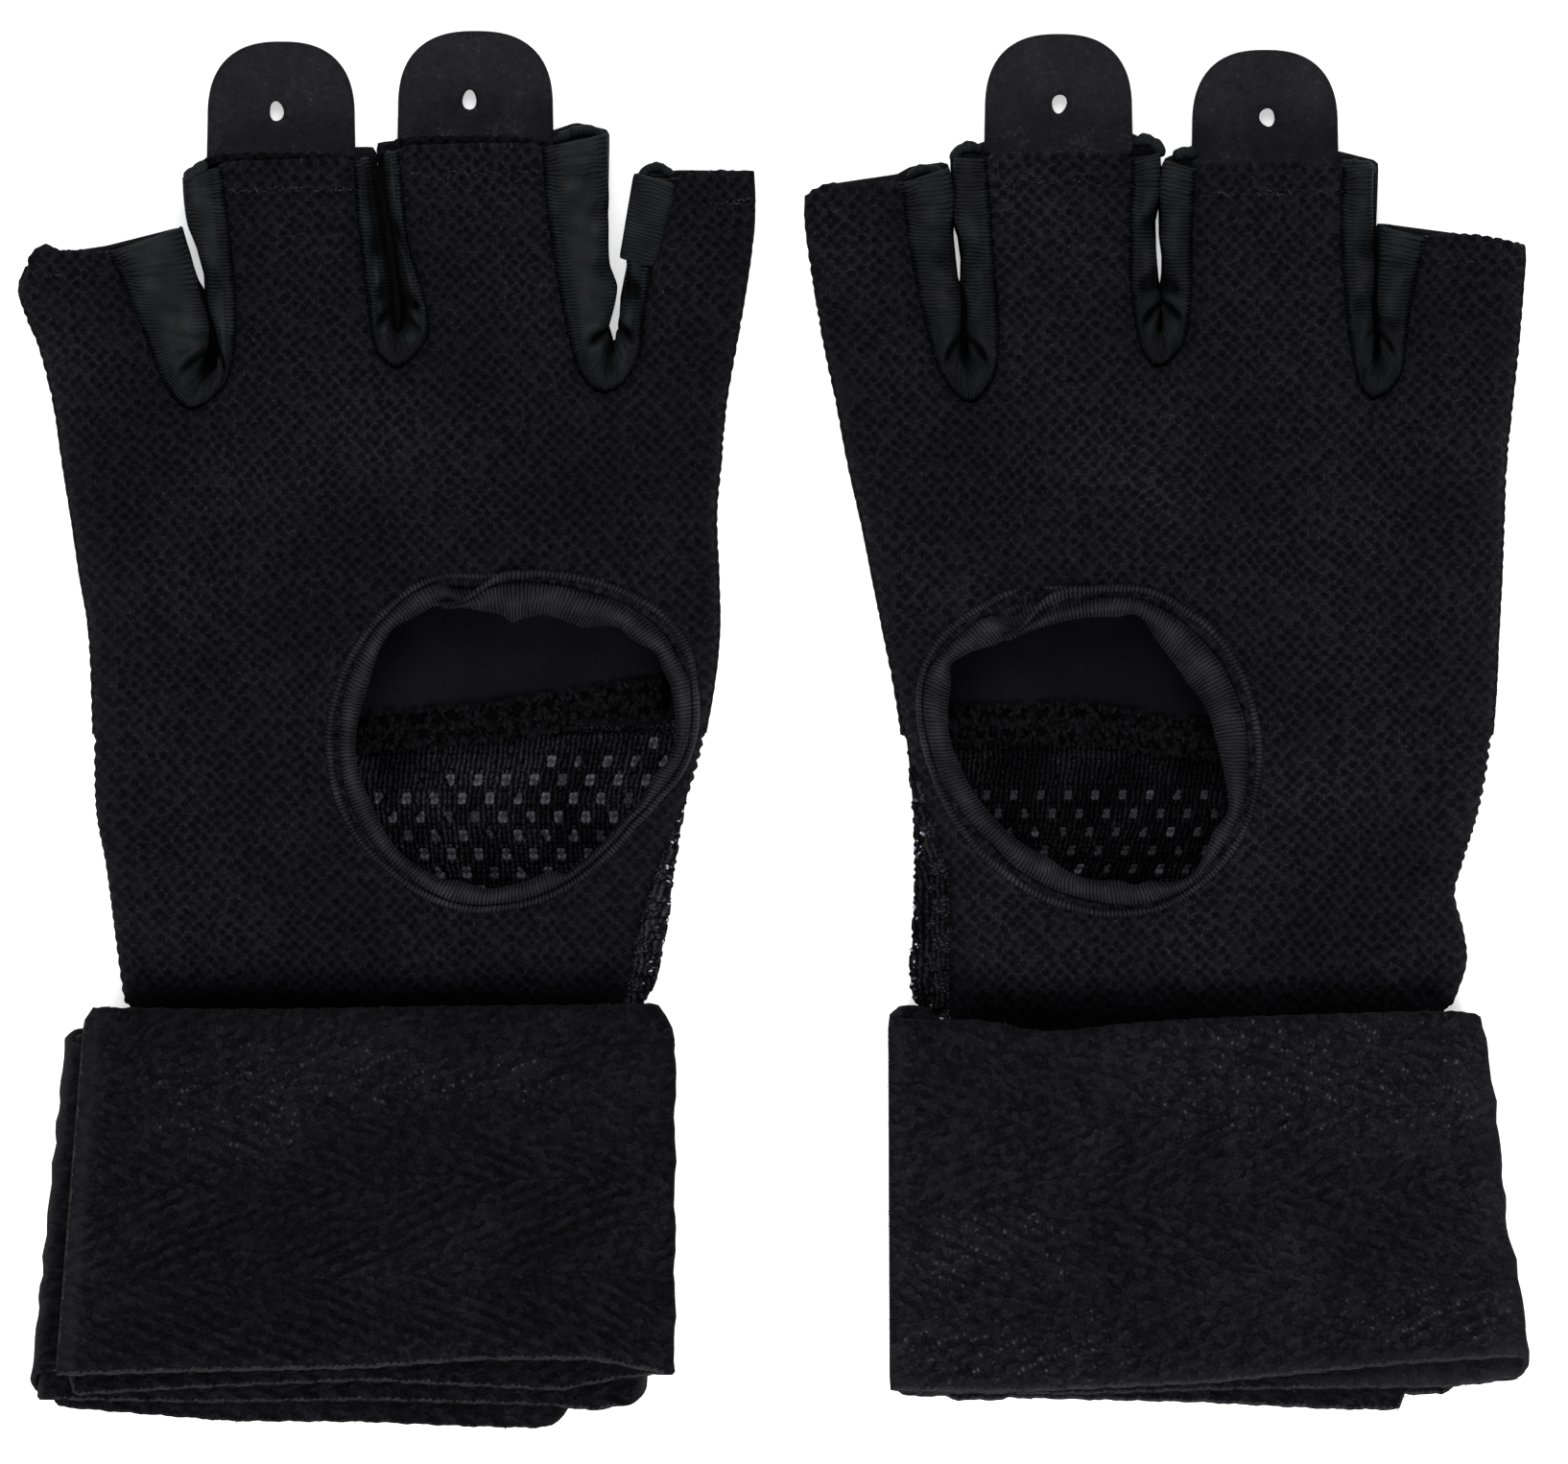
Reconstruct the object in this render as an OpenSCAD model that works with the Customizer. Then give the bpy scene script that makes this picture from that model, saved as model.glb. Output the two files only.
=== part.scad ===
// A pair of fingerless hand-wrap gloves lying flat, palm side up.
// Millimetres. +X to the right, +Y towards the fingers, +Z up from the table.
// The right-hand glove lies on the -X side, the left-hand glove on the +X side.

/* [Cloth] */
// Thickness of the knitted palm panel
palm_t = 1.2; // [0.8:0.1:1.6]
// Thickness of the woven back shell
shell_t = 1.0; // [0.8:0.1:1.2]
// Thickness of the spacer mesh on the back of the hand
mesh_t = 2.0; // [1.4:0.1:2.2]
// Thickness of the smooth lining under the knuckle pad
lining_t = 0.6; // [0.4:0.1:0.8]

/* [Knuckle pad] */
// Thickness of the foam over the knuckles
pad_t = 3.6; // [2.8:0.1:3.8]
// Width of the flat rim sewn round the foam
pad_rim = 5; // [4:0.5:8]
// Width of each bending groove in the foam
groove_w = 1.6; // [1:0.1:2.4]

/* [Hand space] */
// Free height left inside for the hand
hand_h = 6.0; // [5.8:0.1:8]
// Thickness of the sewn side seams
seam_t = 1.6; // [1.2:0.1:1.8]

/* [Thumb hole] */
// How far the binding reaches out over the palm panel
bind_out = 2.2; // [1.5:0.1:2.4]
// How far the binding reaches in past the cut edge
bind_in = 1.3; // [0.8:0.1:2]
// Thickness of the binding ribbon
bind_t = 0.7; // [0.5:0.1:0.8]

/* [Pull tabs] */
// Thickness of a pull tab
tab_t = 1.0; // [0.8:0.1:1.4]
// Diameter of the round hole in a pull tab
tab_hole = 2.4; // [1.6:0.1:3]
// Radius of a tab's top corners
tab_r = 6.5; // [4:0.5:6.5]

/* [Wrist wrap] */
// Thickness of one layer of the herringbone tape
tape_t = 0.9; // [0.7:0.1:1]
// Thickness of the tape wound over the palm side
over_t = 2.8; // [2.2:0.1:3.2]
// Rounding of the folded sides of the wound tape
fold_r = 5; // [3:0.5:6]
// Thickness of the hook patch and of the loop patch
patch_t = 0.6; // [0.4:0.1:0.7]

/* [Hidden] */
$fn = 48;
tiny = 0.01;
under_t = 2.6;               // tape wound under the back of the wrist
mesh_z = under_t + 0.2;
mesh_top = mesh_z + mesh_t;
pad_z = shell_t;
lining_z = pad_z + pad_t;
lining_top = lining_z + lining_t;
palm_z = lining_top + hand_h;
palm_top = palm_z + palm_t;
over_z = palm_top + 0.2;
coil_top = over_z + over_t;
hook_z = coil_top + patch_t + 0.3;
flap_z = hook_z + patch_t;

seam_y = 2;                  // where the padded half meets the mesh half
knuckle_y = 41;              // end of the padded half, below the finger slits
cuff_y = -78;                // wrist edge of the panels

// Outline of each glove: little-finger side and thumb side, from the wrist up.
right_out = [[-84, -78], [-84, -42], [-85.5, -36], [-86, -33], [-87, -25.5], [-88, -18],
             [-89.5, -10.5], [-89.5, 1], [-90, 12.5], [-91, 20], [-92, 27.5], [-93, 35],
             [-94.5, 43], [-96.5, 50.5], [-98, 54], [-99.5, 58], [-98.5, 61]];
right_in  = [[-18.5, -78], [-18.5, -42], [-16.5, -36], [-15, -33], [-13.5, -25.5], [-12.5, -18],
             [-11.5, -10.5], [-9.5, -3], [-8, 5], [-7, 12.5], [-7.5, 20], [-7.5, 35],
             [-6.5, 43], [-5, 50.5], [-3.5, 58], [-2.5, 65.5], [-2.5, 72.5]];
left_in   = [[21.5, -78], [21.5, -42], [18.6, -36], [18, -33], [18.5, -22], [19, -14],
             [18, -10.5], [18, -3], [16.5, 5], [15, 12.5], [13.5, 20], [12, 27.5],
             [10.5, 35], [9, 43], [7, 50.5], [6, 58], [5, 62], [4.5, 70]];
left_out  = [[88, -78], [88, -42], [90.2, -36], [92, -29.5], [91, -25.5], [90, -22],
             [91, -18], [93.5, -10.5], [95, -3], [95.5, 12.5], [96, 20], [96.5, 35],
             [97.5, 43], [98.5, 50.5], [99, 58], [99.5, 63]];

// Finger slits of the palm panel: left side down, tip, right side up.
right_slits = [
  [[[-87.5, 63], [-85.5, 58], [-83, 51.5], [-80.5, 45.5]], [-77, 42],
   [[-71.5, 46], [-71, 58], [-71.5, 67], [-72.5, 74.5]]],
  [[[-55.5, 75], [-54.5, 67], [-53.5, 58], [-52.5, 50.5]], [-49.5, 47.5],
   [[-45.5, 52.5], [-46, 58], [-48.5, 64.5], [-49, 76.5]]],
  [[[-30.5, 76.5], [-29.5, 68], [-28.5, 59], [-26, 47.5]], [-22.5, 44.5],
   [[-18, 48], [-17, 54], [-15, 65], [-13, 72]]]];
left_slits = [
  [[[17, 72], [18, 65.5], [19, 58], [22.5, 47]], [26, 43],
   [[29.5, 47], [30, 54], [29, 62], [28.5, 75.5]]],
  [[[47.5, 75.5], [47, 65.5], [47.5, 58], [48, 51.5]], [51, 47.5],
   [[54.5, 51.5], [55.5, 58], [55.5, 65.5], [56, 73.5]]],
  [[[75, 74], [75, 64.5], [76, 54], [77, 47]], [79, 43.5],
   [[83, 47], [84, 54], [85, 59], [86.5, 64.5]]]];

// Finger ends and narrow slits of the back shell, from left to right.
right_backs = [[-98.5, 61], [-88, 64.5], [-78.5, 66], [-76.8, 59], [-75.8, 48], [-74.8, 48],
               [-75.2, 58], [-76.8, 65.5], [-77.5, 75.5], [-54, 76.5], [-51.8, 60], [-50.5, 51],
               [-49.5, 51], [-50.6, 60], [-52.6, 77.5], [-21.6, 78.5], [-21.6, 62], [-21, 52],
               [-20, 52], [-19.2, 61], [-18.8, 73.5], [-2.5, 74]];
left_backs  = [[4.5, 71.5], [17, 73.5], [22.6, 74], [24, 59], [25, 48], [26, 48], [25.4, 59],
               [24.6, 76], [28.5, 77], [47.5, 77.5], [50.8, 76.5], [50.6, 58], [50.8, 51],
               [51.8, 51], [51.7, 58], [53.2, 75], [56, 76.3], [75, 76], [79.4, 74.5],
               [79, 58], [79.3, 47.5], [80.3, 47.5], [80, 56], [80.5, 66], [99.5, 65]];

// Thumb hole: centre and half sizes of the cut in the palm panel.
right_hole = [[-34.2, -2], [22, 20]];
left_hole  = [[41.8, -2.8], [19.8, 19.2]];

// Pull tabs: middle, width, fold line, top, and the hole's place.
right_ring   = [-64.9, 19.2, 77, 90.5, [-65.5, 81.5]];
right_middle = [-39.2, 20.2, 79, 92, [-40, 83]];
left_middle  = [37.9, 19.2, 78.2, 91.5, [38, 82.5]];
left_ring    = [65.2, 19, 76, 89.5, [65.5, 80.7]];

// Wound tape: left and right side at the hand end, then at the free end.
right_coil = [[-38.5, -93.5, -12.5], [-89.5, -98.5, -12.7]];
right_void = [[-38, -90, -15.8], [-90, -94.5, -15.8]];
left_coil  = [[-39, 15.6, 93.5], [-89.5, 15.8, 99.5]];
left_void  = [[-38.5, 18.9, 90.2], [-90, 18.9, 96]];

// Tape end that lifts: its four corners.
right_flap = [[-90, -37.2], [-13.2, -37.2], [-13.2, -84.6], [-94, -83.2]];
left_flap  = [[15.6, -38.2], [92.4, -38.2], [98.8, -82.5], [16, -87.4]];
// Hook and loop patches under the free end: low corner and size.
right_patch = [[-88, -80], [28, 38]];
left_patch  = [[19, -82], [28, 38]];

function rev(a) = [for (i = [len(a) - 1:-1:0]) a[i]];
function table(e) = [for (p = e) [p[1], p[0]]];
function at(e, y) = lookup(y, table(e));
function low(a, b) = a < b ? a : b;
// Points of an outline between two heights, moved sideways by dx.
function run(e, y0, y1, dx) = concat([[at(e, y0) + dx, y0]],
  [for (p = e) if (p[1] > y0 + 0.2 && p[1] < y1 - 0.2) [p[0] + dx, p[1]]],
  [[at(e, y1) + dx, y1]]);
// Area between the two sides of a glove, set in by dx.
function band(a, b, y0, y1, dx) = concat(run(a, y0, y1, dx), rev(run(b, y0, y1, -dx)));
function shift(a, d) = [for (p = a) p + d];
function slit_path(s) = concat(s[0], [s[1]], s[2]);
// V-shaped strip that stands inside a slit.
function vee(s) = concat(shift(s[0], [0.3, 0]), [s[1] + [0, 0.6]], shift(s[2], [-0.3, 0]),
  rev(concat(shift(s[0], [1.4, 0.3]), [s[1] + [0, 2.4]], shift(s[2], [-1.4, 0.3]))));
function oval(c, r, n) = [for (i = [0:n - 1]) c + [r[0] * cos(360 * i / n), r[1] * sin(360 * i / n)]];

module slab(pts, z, t) translate([0, 0, z]) linear_extrude(t) polygon(pts);

// Knitted palm panel with four finger fronts and the thumb cut-out.
module palm_panel(a, b, slits, hole) color([0.085, 0.085, 0.095])
  difference() {
    slab(concat(a, slit_path(slits[0]), slit_path(slits[1]), slit_path(slits[2]), rev(b)), palm_z, palm_t);
    slab(oval(hole[0], hole[1], 64), palm_z - 1, palm_t + 2);
  }

// Ribbon folded round the cut edge of the thumb hole.
module thumb_binding(hole) color([0.1, 0.105, 0.115])
  difference() {
    union() {
      slab(oval(hole[0], hole[1] + [bind_out, bind_out], 64), palm_top, bind_t);
      slab(oval(hole[0], hole[1] - [0.1, 0.1], 64), palm_z - bind_t, palm_t + 1.5 * bind_t);
      slab(oval(hole[0], hole[1] + [0.8, 0.8], 64), palm_z - bind_t, bind_t);
    }
    slab(oval(hole[0], hole[1] - [bind_in, bind_in], 64), palm_z - 2, palm_t + 5);
  }

// Woven back with the finger backs and a pocket for the knuckle foam.
module back_shell(a, b, backs) color([0.07, 0.07, 0.08])
  union() {
    slab(concat(run(a, seam_y, a[len(a) - 1][1], 0), backs, rev(run(b, seam_y, b[len(b) - 1][1], 0))), 0, shell_t);
    difference() {
      slab(band(a, b, seam_y, knuckle_y, 0), 0, lining_z);
      slab(band(a, b, seam_y + pad_rim, knuckle_y - pad_rim, pad_rim), shell_t, pad_t + 1);
    }
  }

// Foam over the knuckles, with bending grooves between the fingers.
module knuckle_pad(a, b, slits) color([0.2, 0.2, 0.21])
  difference() {
    slab(band(a, b, seam_y + pad_rim + 0.2, knuckle_y - pad_rim - 0.2, pad_rim + 0.2), pad_z, pad_t);
    for (s = slits)
      translate([s[1][0] - groove_w / 2, 0, pad_z + pad_t / 2]) cube([groove_w, 80, pad_t]);
  }

// Smooth lining that closes the foam pocket towards the hand.
module pad_lining(a, b) color([0.07, 0.066, 0.078])
  slab(band(a, b, seam_y, knuckle_y, 0), lining_z, lining_t);

// Spacer mesh over the back of the hand, down to the wrist.
module back_mesh(a, b) color([0.067, 0.063, 0.075])
  slab(band(a, b, cuff_y, seam_y, 0), mesh_z, mesh_t);

// Seam tape sewn along the join of lining and mesh.
module back_seam(a, b) color([0.05, 0.05, 0.055])
  slab(band(a, b, seam_y - 5, seam_y, seam_t + 1), mesh_top, 0.8);

// Grosgrain strip between two fingers.
module fourchette(s) color([0.11, 0.12, 0.133])
  slab(vee(s), shell_t, palm_top - shell_t - 0.3);

// Sewn side where palm and back meet.
module side_seam(e, d, top) color([0.06, 0.06, 0.07])
  union() {
    slab(concat(run(e, cuff_y, seam_y, 0), rev(run(e, cuff_y, seam_y, d))), mesh_top, palm_z - mesh_top);
    slab(concat(run(e, seam_y, knuckle_y, 0), rev(run(e, seam_y, knuckle_y, d))), lining_top, palm_z - lining_top);
    slab(concat(run(e, knuckle_y, top, 0), rev(run(e, knuckle_y, top, d))), shell_t, palm_z - shell_t);
  }

// Edging of the wrist opening, one length on each face.
module cuff_binding(a, b) color([0.06, 0.06, 0.07]) {
  slab([[a[0][0] + 2, cuff_y - 2.5], [b[0][0] - 2, cuff_y - 2.5], [b[0][0] - 2, cuff_y], [a[0][0] + 2, cuff_y]], palm_z, palm_t);
  slab([[a[0][0] + 2, cuff_y - 2.5], [b[0][0] - 2, cuff_y - 2.5], [b[0][0] - 2, cuff_y], [a[0][0] + 2, cuff_y]], mesh_z, mesh_t);
}

// Round-topped pull tab with a hanging hole.
module pull_tab(t) color([0.118, 0.118, 0.13])
  translate([0, 0, shell_t]) linear_extrude(tab_t) difference() {
    union() {
      translate([t[0] - t[1] / 2, t[2] + 0.3]) square([t[1], t[3] - t[2] - 0.3 - tab_r]);
      translate([t[0] - t[1] / 2 + tab_r, t[2] + 0.3]) square([t[1] - 2 * tab_r, t[3] - t[2] - 0.3]);
      for (s = [-1, 1]) translate([t[0] + s * (t[1] / 2 - tab_r), t[3] - tab_r]) circle(tab_r);
    }
    translate(t[4]) circle(d = tab_hole);
  }

// Part of a pull tab that is sewn inside the finger.
module tab_root(t) color([0.11, 0.11, 0.12])
  translate([t[0] - 7, t[2] - 9, shell_t]) cube([14, 8.7, tab_t]);

// Herringbone tape wound round the wrist, drawn as one flat ring.
module wrap_coil(c, v, tail) color([0.075, 0.073, 0.085])
  difference() {
    union() {
      hull() for (r = c)
        translate([0, r[0], 0]) rotate([90, 0, 0]) linear_extrude(tiny)
          for (x = [r[1] + fold_r, r[2] - fold_r]) for (z = [fold_r, coil_top - fold_r]) translate([x, z]) circle(fold_r, $fn = 24);
      slab(tail, 0.8, tape_t);
    }
    slab([[v[0][1], v[0][0] + 1], [v[0][2], v[0][0] + 1], [v[1][2], v[1][0]], [v[1][1], v[1][0]]], under_t, over_z - under_t);
  }

// Soft loop patch on the wound tape.
module loop_patch(p) color([0.05, 0.05, 0.055])
  translate([p[0][0], p[0][1], coil_top]) cube([p[1][0], p[1][1], patch_t]);

// Free end of the tape that lifts off.
module wrap_flap(f) color([0.08, 0.08, 0.092])
  slab(f, flap_z, tape_t);

// Stiff hook patch under the free end.
module hook_patch(p) color([0.045, 0.045, 0.05])
  translate([p[0][0] + 1, p[0][1] + 1, hook_z]) cube([p[1][0] - 2, p[1][1] - 2, patch_t]);

palm_panel(right_out, right_in, right_slits, right_hole);  // right_palm_panel
thumb_binding(right_hole);  // right_thumb_binding
back_shell(right_out, right_in, right_backs);  // right_back_shell
knuckle_pad(right_out, right_in, right_slits);  // right_knuckle_pad
pad_lining(right_out, right_in);  // right_pad_lining
back_mesh(right_out, right_in);  // right_back_mesh
back_seam(right_out, right_in);  // right_back_seam
fourchette(right_slits[0]);  // right_little_ring_fourchette
fourchette(right_slits[1]);  // right_ring_middle_fourchette
fourchette(right_slits[2]);  // right_middle_index_fourchette
side_seam(right_out, seam_t, 60);  // right_little_side_seam
side_seam(right_in, -seam_t, 72);  // right_thumb_side_seam
cuff_binding(right_out, right_in);  // right_cuff_binding
pull_tab(right_ring);  // right_ring_tab
pull_tab(right_middle);  // right_middle_tab
tab_root(right_ring);  // right_ring_tab_root
tab_root(right_middle);  // right_middle_tab_root
wrap_coil(right_coil, right_void, [[-82, -80], [-28, -80], [-30, -92], [-80, -92]]);  // right_wrap_coil
loop_patch(right_patch);  // right_loop_patch
wrap_flap(right_flap);  // right_wrap_flap
hook_patch(right_patch);  // right_hook_patch
palm_panel(left_in, left_out, left_slits, left_hole);  // left_palm_panel
thumb_binding(left_hole);  // left_thumb_binding
back_shell(left_in, left_out, left_backs);  // left_back_shell
knuckle_pad(left_in, left_out, left_slits);  // left_knuckle_pad
pad_lining(left_in, left_out);  // left_pad_lining
back_mesh(left_in, left_out);  // left_back_mesh
back_seam(left_in, left_out);  // left_back_seam
fourchette(left_slits[0]);  // left_index_middle_fourchette
fourchette(left_slits[1]);  // left_middle_ring_fourchette
fourchette(left_slits[2]);  // left_ring_little_fourchette
side_seam(left_in, seam_t, 70);  // left_thumb_side_seam
side_seam(left_out, -seam_t, 63);  // left_little_side_seam
cuff_binding(left_in, left_out);  // left_cuff_binding
pull_tab(left_middle);  // left_middle_tab
pull_tab(left_ring);  // left_ring_tab
tab_root(left_middle);  // left_middle_tab_root
tab_root(left_ring);  // left_ring_tab_root
wrap_coil(left_coil, left_void, [[28, -80], [80, -80], [82, -90], [30, -89]]);  // left_wrap_coil
loop_patch(left_patch);  // left_loop_patch
wrap_flap(left_flap);  // left_wrap_flap
hook_patch(left_patch);  // left_hook_patch
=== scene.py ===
import math

import bpy
import numpy as np
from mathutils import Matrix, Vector, geometry


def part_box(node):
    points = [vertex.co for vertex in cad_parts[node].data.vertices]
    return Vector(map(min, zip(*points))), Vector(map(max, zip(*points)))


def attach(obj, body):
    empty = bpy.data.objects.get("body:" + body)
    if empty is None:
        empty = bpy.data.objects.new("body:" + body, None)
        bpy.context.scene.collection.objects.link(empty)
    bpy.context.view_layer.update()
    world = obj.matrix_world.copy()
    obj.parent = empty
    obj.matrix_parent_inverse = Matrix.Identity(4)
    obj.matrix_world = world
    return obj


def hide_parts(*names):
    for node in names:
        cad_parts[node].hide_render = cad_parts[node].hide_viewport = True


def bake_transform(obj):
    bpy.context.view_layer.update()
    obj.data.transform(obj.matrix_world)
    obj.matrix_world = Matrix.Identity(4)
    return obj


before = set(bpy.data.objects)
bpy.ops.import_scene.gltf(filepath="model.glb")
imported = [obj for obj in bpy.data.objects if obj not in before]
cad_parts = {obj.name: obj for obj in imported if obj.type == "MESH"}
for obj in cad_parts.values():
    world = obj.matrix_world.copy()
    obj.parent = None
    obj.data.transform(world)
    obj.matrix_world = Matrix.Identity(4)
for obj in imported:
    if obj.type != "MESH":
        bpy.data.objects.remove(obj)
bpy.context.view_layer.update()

MM = 0.001  # the shapes below are worked out in millimetres


# ------------------------------------------------------------------ curves and fields
def smooth(a, b, x):
    t = np.clip((np.asarray(x, float) - a) / (b - a), 0, 1)
    return t * t * (3 - 2 * t)


def arc(P):
    return np.r_[0, np.cumsum(np.linalg.norm(np.diff(P, axis=0), axis=1))]


def even(P, step=None, n=None, closed=False):
    """The same line again with points the same distance apart."""
    P = np.asarray(P, float)
    if closed:
        P = np.vstack([P, P[:1]])
    s = arc(P)
    if n is None:
        n = max(3, int(round(s[-1] / step)) + 1)
    q = np.linspace(0, s[-1], n)
    R = np.stack([np.interp(q, s, P[:, k]) for k in range(P.shape[1])], 1)
    return R[:-1] if closed else R


def spline(P, step=None, n=None, closed=False):
    """A smooth line through the points."""
    P = np.asarray(P, float)
    Q = np.vstack([P[-1:], P, P[:2]]) if closed else np.vstack([2 * P[0] - P[1], P, 2 * P[-1] - P[-2]])
    t = np.linspace(0, 1, 16, endpoint=False)[:, None]
    out = []
    for i in range(len(Q) - 3):
        a, b, c, d = Q[i:i + 4]
        out.append(0.5 * (2 * b + (c - a) * t + (2 * a - 5 * b + 4 * c - d) * t ** 2 + (3 * b - a - 3 * c + d) * t ** 3))
    out = np.vstack(out)
    if not closed:
        out = np.vstack([out, P[-1:]])
    return even(out, step, n, closed)


def ring(L):
    return np.vstack([L, L[:1]])


def inside(poly, p):
    x, y = p[:, 0], p[:, 1]
    r = np.zeros(len(p), bool)
    for (x1, y1), (x2, y2) in zip(poly, np.roll(poly, -1, 0)):
        c = (y1 > y) != (y2 > y)
        if c.any():
            r ^= c & (x < (x2 - x1) * (y - y1) / (y2 - y1 + 1e-12) + x1)
    return r


def gap(p, line):
    """Distance from each point to a line in the plane."""
    best = np.full(len(p), 1e9)
    for a, b in zip(line[:-1], line[1:]):
        d = b - a
        t = np.clip(((p - a) @ d) / max(d @ d, 1e-12), 0, 1)
        q = p - a - t[:, None] * d
        best = np.minimum(best, q[:, 0] ** 2 + q[:, 1] ** 2)
    return np.sqrt(best)


def waves(p, scale, seed, n=7):
    """Gentle random waviness, about from -1 to 1."""
    r = np.random.default_rng(seed)
    a, k, h = r.uniform(0, 2 * np.pi, n), r.uniform(0.6, 1.6, n) * 2 * np.pi / scale, r.uniform(0, 2 * np.pi, n)
    p = np.asarray(p, float)
    return sum(np.sin(k[i] * (np.cos(a[i]) * p[..., 0] + np.sin(a[i]) * p[..., 1]) + h[i]) for i in range(n)) / math.sqrt(n)


def scallop(L, pitch, depth, seed):
    """The small bumps that the knit leaves along a cut edge."""
    s = arc(L)
    d = np.gradient(L, axis=0)
    d /= np.linalg.norm(d, axis=1)[:, None] + 1e-12
    h = np.random.default_rng(seed).uniform(0, 6.28, 3)
    f = s / pitch + 0.35 * np.sin(s / 5.1 + h[0]) + 0.2 * np.sin(s / 2.3 + h[1])
    o = depth * (np.abs(np.sin(np.pi * f)) - 0.6) * (0.75 + 0.4 * np.sin(s / 9.7 + h[2]))
    o *= smooth(0, 1.5, s) * smooth(0, 1.5, s[-1] - s)
    return L + np.c_[-d[:, 1], d[:, 0]] * o[:, None]


def shift(L, o):
    """A line in the plane moved sideways, to its left for positive o."""
    d = np.gradient(L, axis=0)
    d /= np.linalg.norm(d, axis=1)[:, None] + 1e-12
    return L + np.c_[-d[:, 1], d[:, 0]] * o


def polar(P, c, n=720, soft=4):
    """Distance from a middle at even angles, from points round a closed line."""
    d = np.asarray(P, float) - c
    a, r = np.arctan2(d[:, 1], d[:, 0]), np.hypot(d[:, 0], d[:, 1])
    o = np.argsort(a)
    a, r = a[o], r[o]
    w = np.linspace(-np.pi, np.pi, n, endpoint=False)
    R = np.interp(w, np.r_[a[-3:] - 2 * np.pi, a, a[:3] + 2 * np.pi], np.r_[r[-3:], r, r[:3]])
    k = np.exp(-0.5 * (np.arange(-3 * soft, 3 * soft + 1) / soft) ** 2)
    return w, np.convolve(np.r_[R[-3 * soft:], R, R[:3 * soft]], k / k.sum(), "valid")


# ------------------------------------------------------------------ meshes
def outward(V, *faces):
    """The faces of one closed shell, turned so that they look outwards."""
    vol = 0.0
    for F in faces:
        for k in range(1, F.shape[1] - 1):
            vol += np.einsum("ij,ij->", V[F[:, 0]], np.cross(V[F[:, k]], V[F[:, k + 1]]))
    return [F if vol > 0 else F[:, ::-1] for F in faces]


def panel(loops, step):
    """Triangles that fill an outline, with holes, and points about a step apart."""
    pts, edges = [], []
    for L in loops:
        k, n = len(pts), len(L)
        pts += [Vector((float(a), float(b))) for a, b in L]
        edges += [(k + i, k + (i + 1) % n) for i in range(n)]
    lo, hi = loops[0].min(0), loops[0].max(0)
    rows = []
    for i, y in enumerate(np.arange(lo[1] + step / 2, hi[1], step * 0.866)):
        x = np.arange(lo[0] + (i % 2) * step / 2, hi[0], step)
        rows.append(np.c_[x, np.full(len(x), y)])
    g = np.vstack(rows)
    keep = inside(loops[0], g)
    for L in loops[1:]:
        keep &= ~inside(L, g)
    g = g[keep]
    for L in loops:
        g = g[gap(g, ring(L)) > 0.55 * step]
    pts += [Vector((float(a), float(b))) for a, b in g]
    v, _, f, *_ = geometry.delaunay_2d_cdt(pts, edges, [], 0, 1e-6)
    v = np.array([q[:2] for q in v])
    f = np.array([t for t in f if len(t) == 3])
    c = v[f].mean(1)
    keep = inside(loops[0], c)
    for L in loops[1:]:
        keep &= ~inside(L, c)
    f = f[keep]
    a, b, c = v[f[:, 0]], v[f[:, 1]], v[f[:, 2]]
    z = (b[:, 0] - a[:, 0]) * (c[:, 1] - a[:, 1]) - (b[:, 1] - a[:, 1]) * (c[:, 0] - a[:, 0])
    f[z < 0] = f[z < 0][:, ::-1]
    f = f[np.abs(z) > 0.03 * step ** 2]
    used, f = np.unique(f, return_inverse=True)
    return v[used], f.reshape(-1, 3)


def grid(nu, nv, wrap=False):
    """Quads of a grid whose points run along v first."""
    a = np.arange(nu * nv).reshape(nu, nv)
    b = np.roll(a, -1, 0) if wrap else a[1:]
    a = a if wrap else a[:-1]
    return np.stack([a[:, :-1], b[:, :-1], b[:, 1:], a[:, 1:]], -1).reshape(-1, 4)


def normals(V, F):
    q = np.cross(V[F[:, 2]] - V[F[:, 0]], V[F[:, 3 % F.shape[1]]] - V[F[:, 1]]) if F.shape[1] == 4 else np.cross(V[F[:, 1]] - V[F[:, 0]], V[F[:, 2]] - V[F[:, 0]])
    n = np.zeros_like(V)
    for k in range(F.shape[1]):
        np.add.at(n, F[:, k], q)
    return n / (np.linalg.norm(n, axis=1)[:, None] + 1e-12)


def rim(F):
    """The edges that only one face has, in that face's direction."""
    e = np.concatenate([np.stack([F[:, k], F[:, (k + 1) % F.shape[1]]], 1) for k in range(F.shape[1])])
    n = int(F.max()) + 1
    there = e[:, 0].astype(np.int64) * n + e[:, 1]
    back = e[:, 1].astype(np.int64) * n + e[:, 0]
    return e[~np.isin(there, back)]


def thick(V, F, t, up=0.5, bulge=0.5):
    """A closed sheet of cloth with round edges from an open surface. Gives points, faces and the surface point each one came from."""
    N = normals(V, F)
    t = np.broadcast_to(np.asarray(t, float), (len(V),))[:, None]
    return closed(V + N * t * up, V - N * t * (1 - up), F, N, bulge * t)


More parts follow.
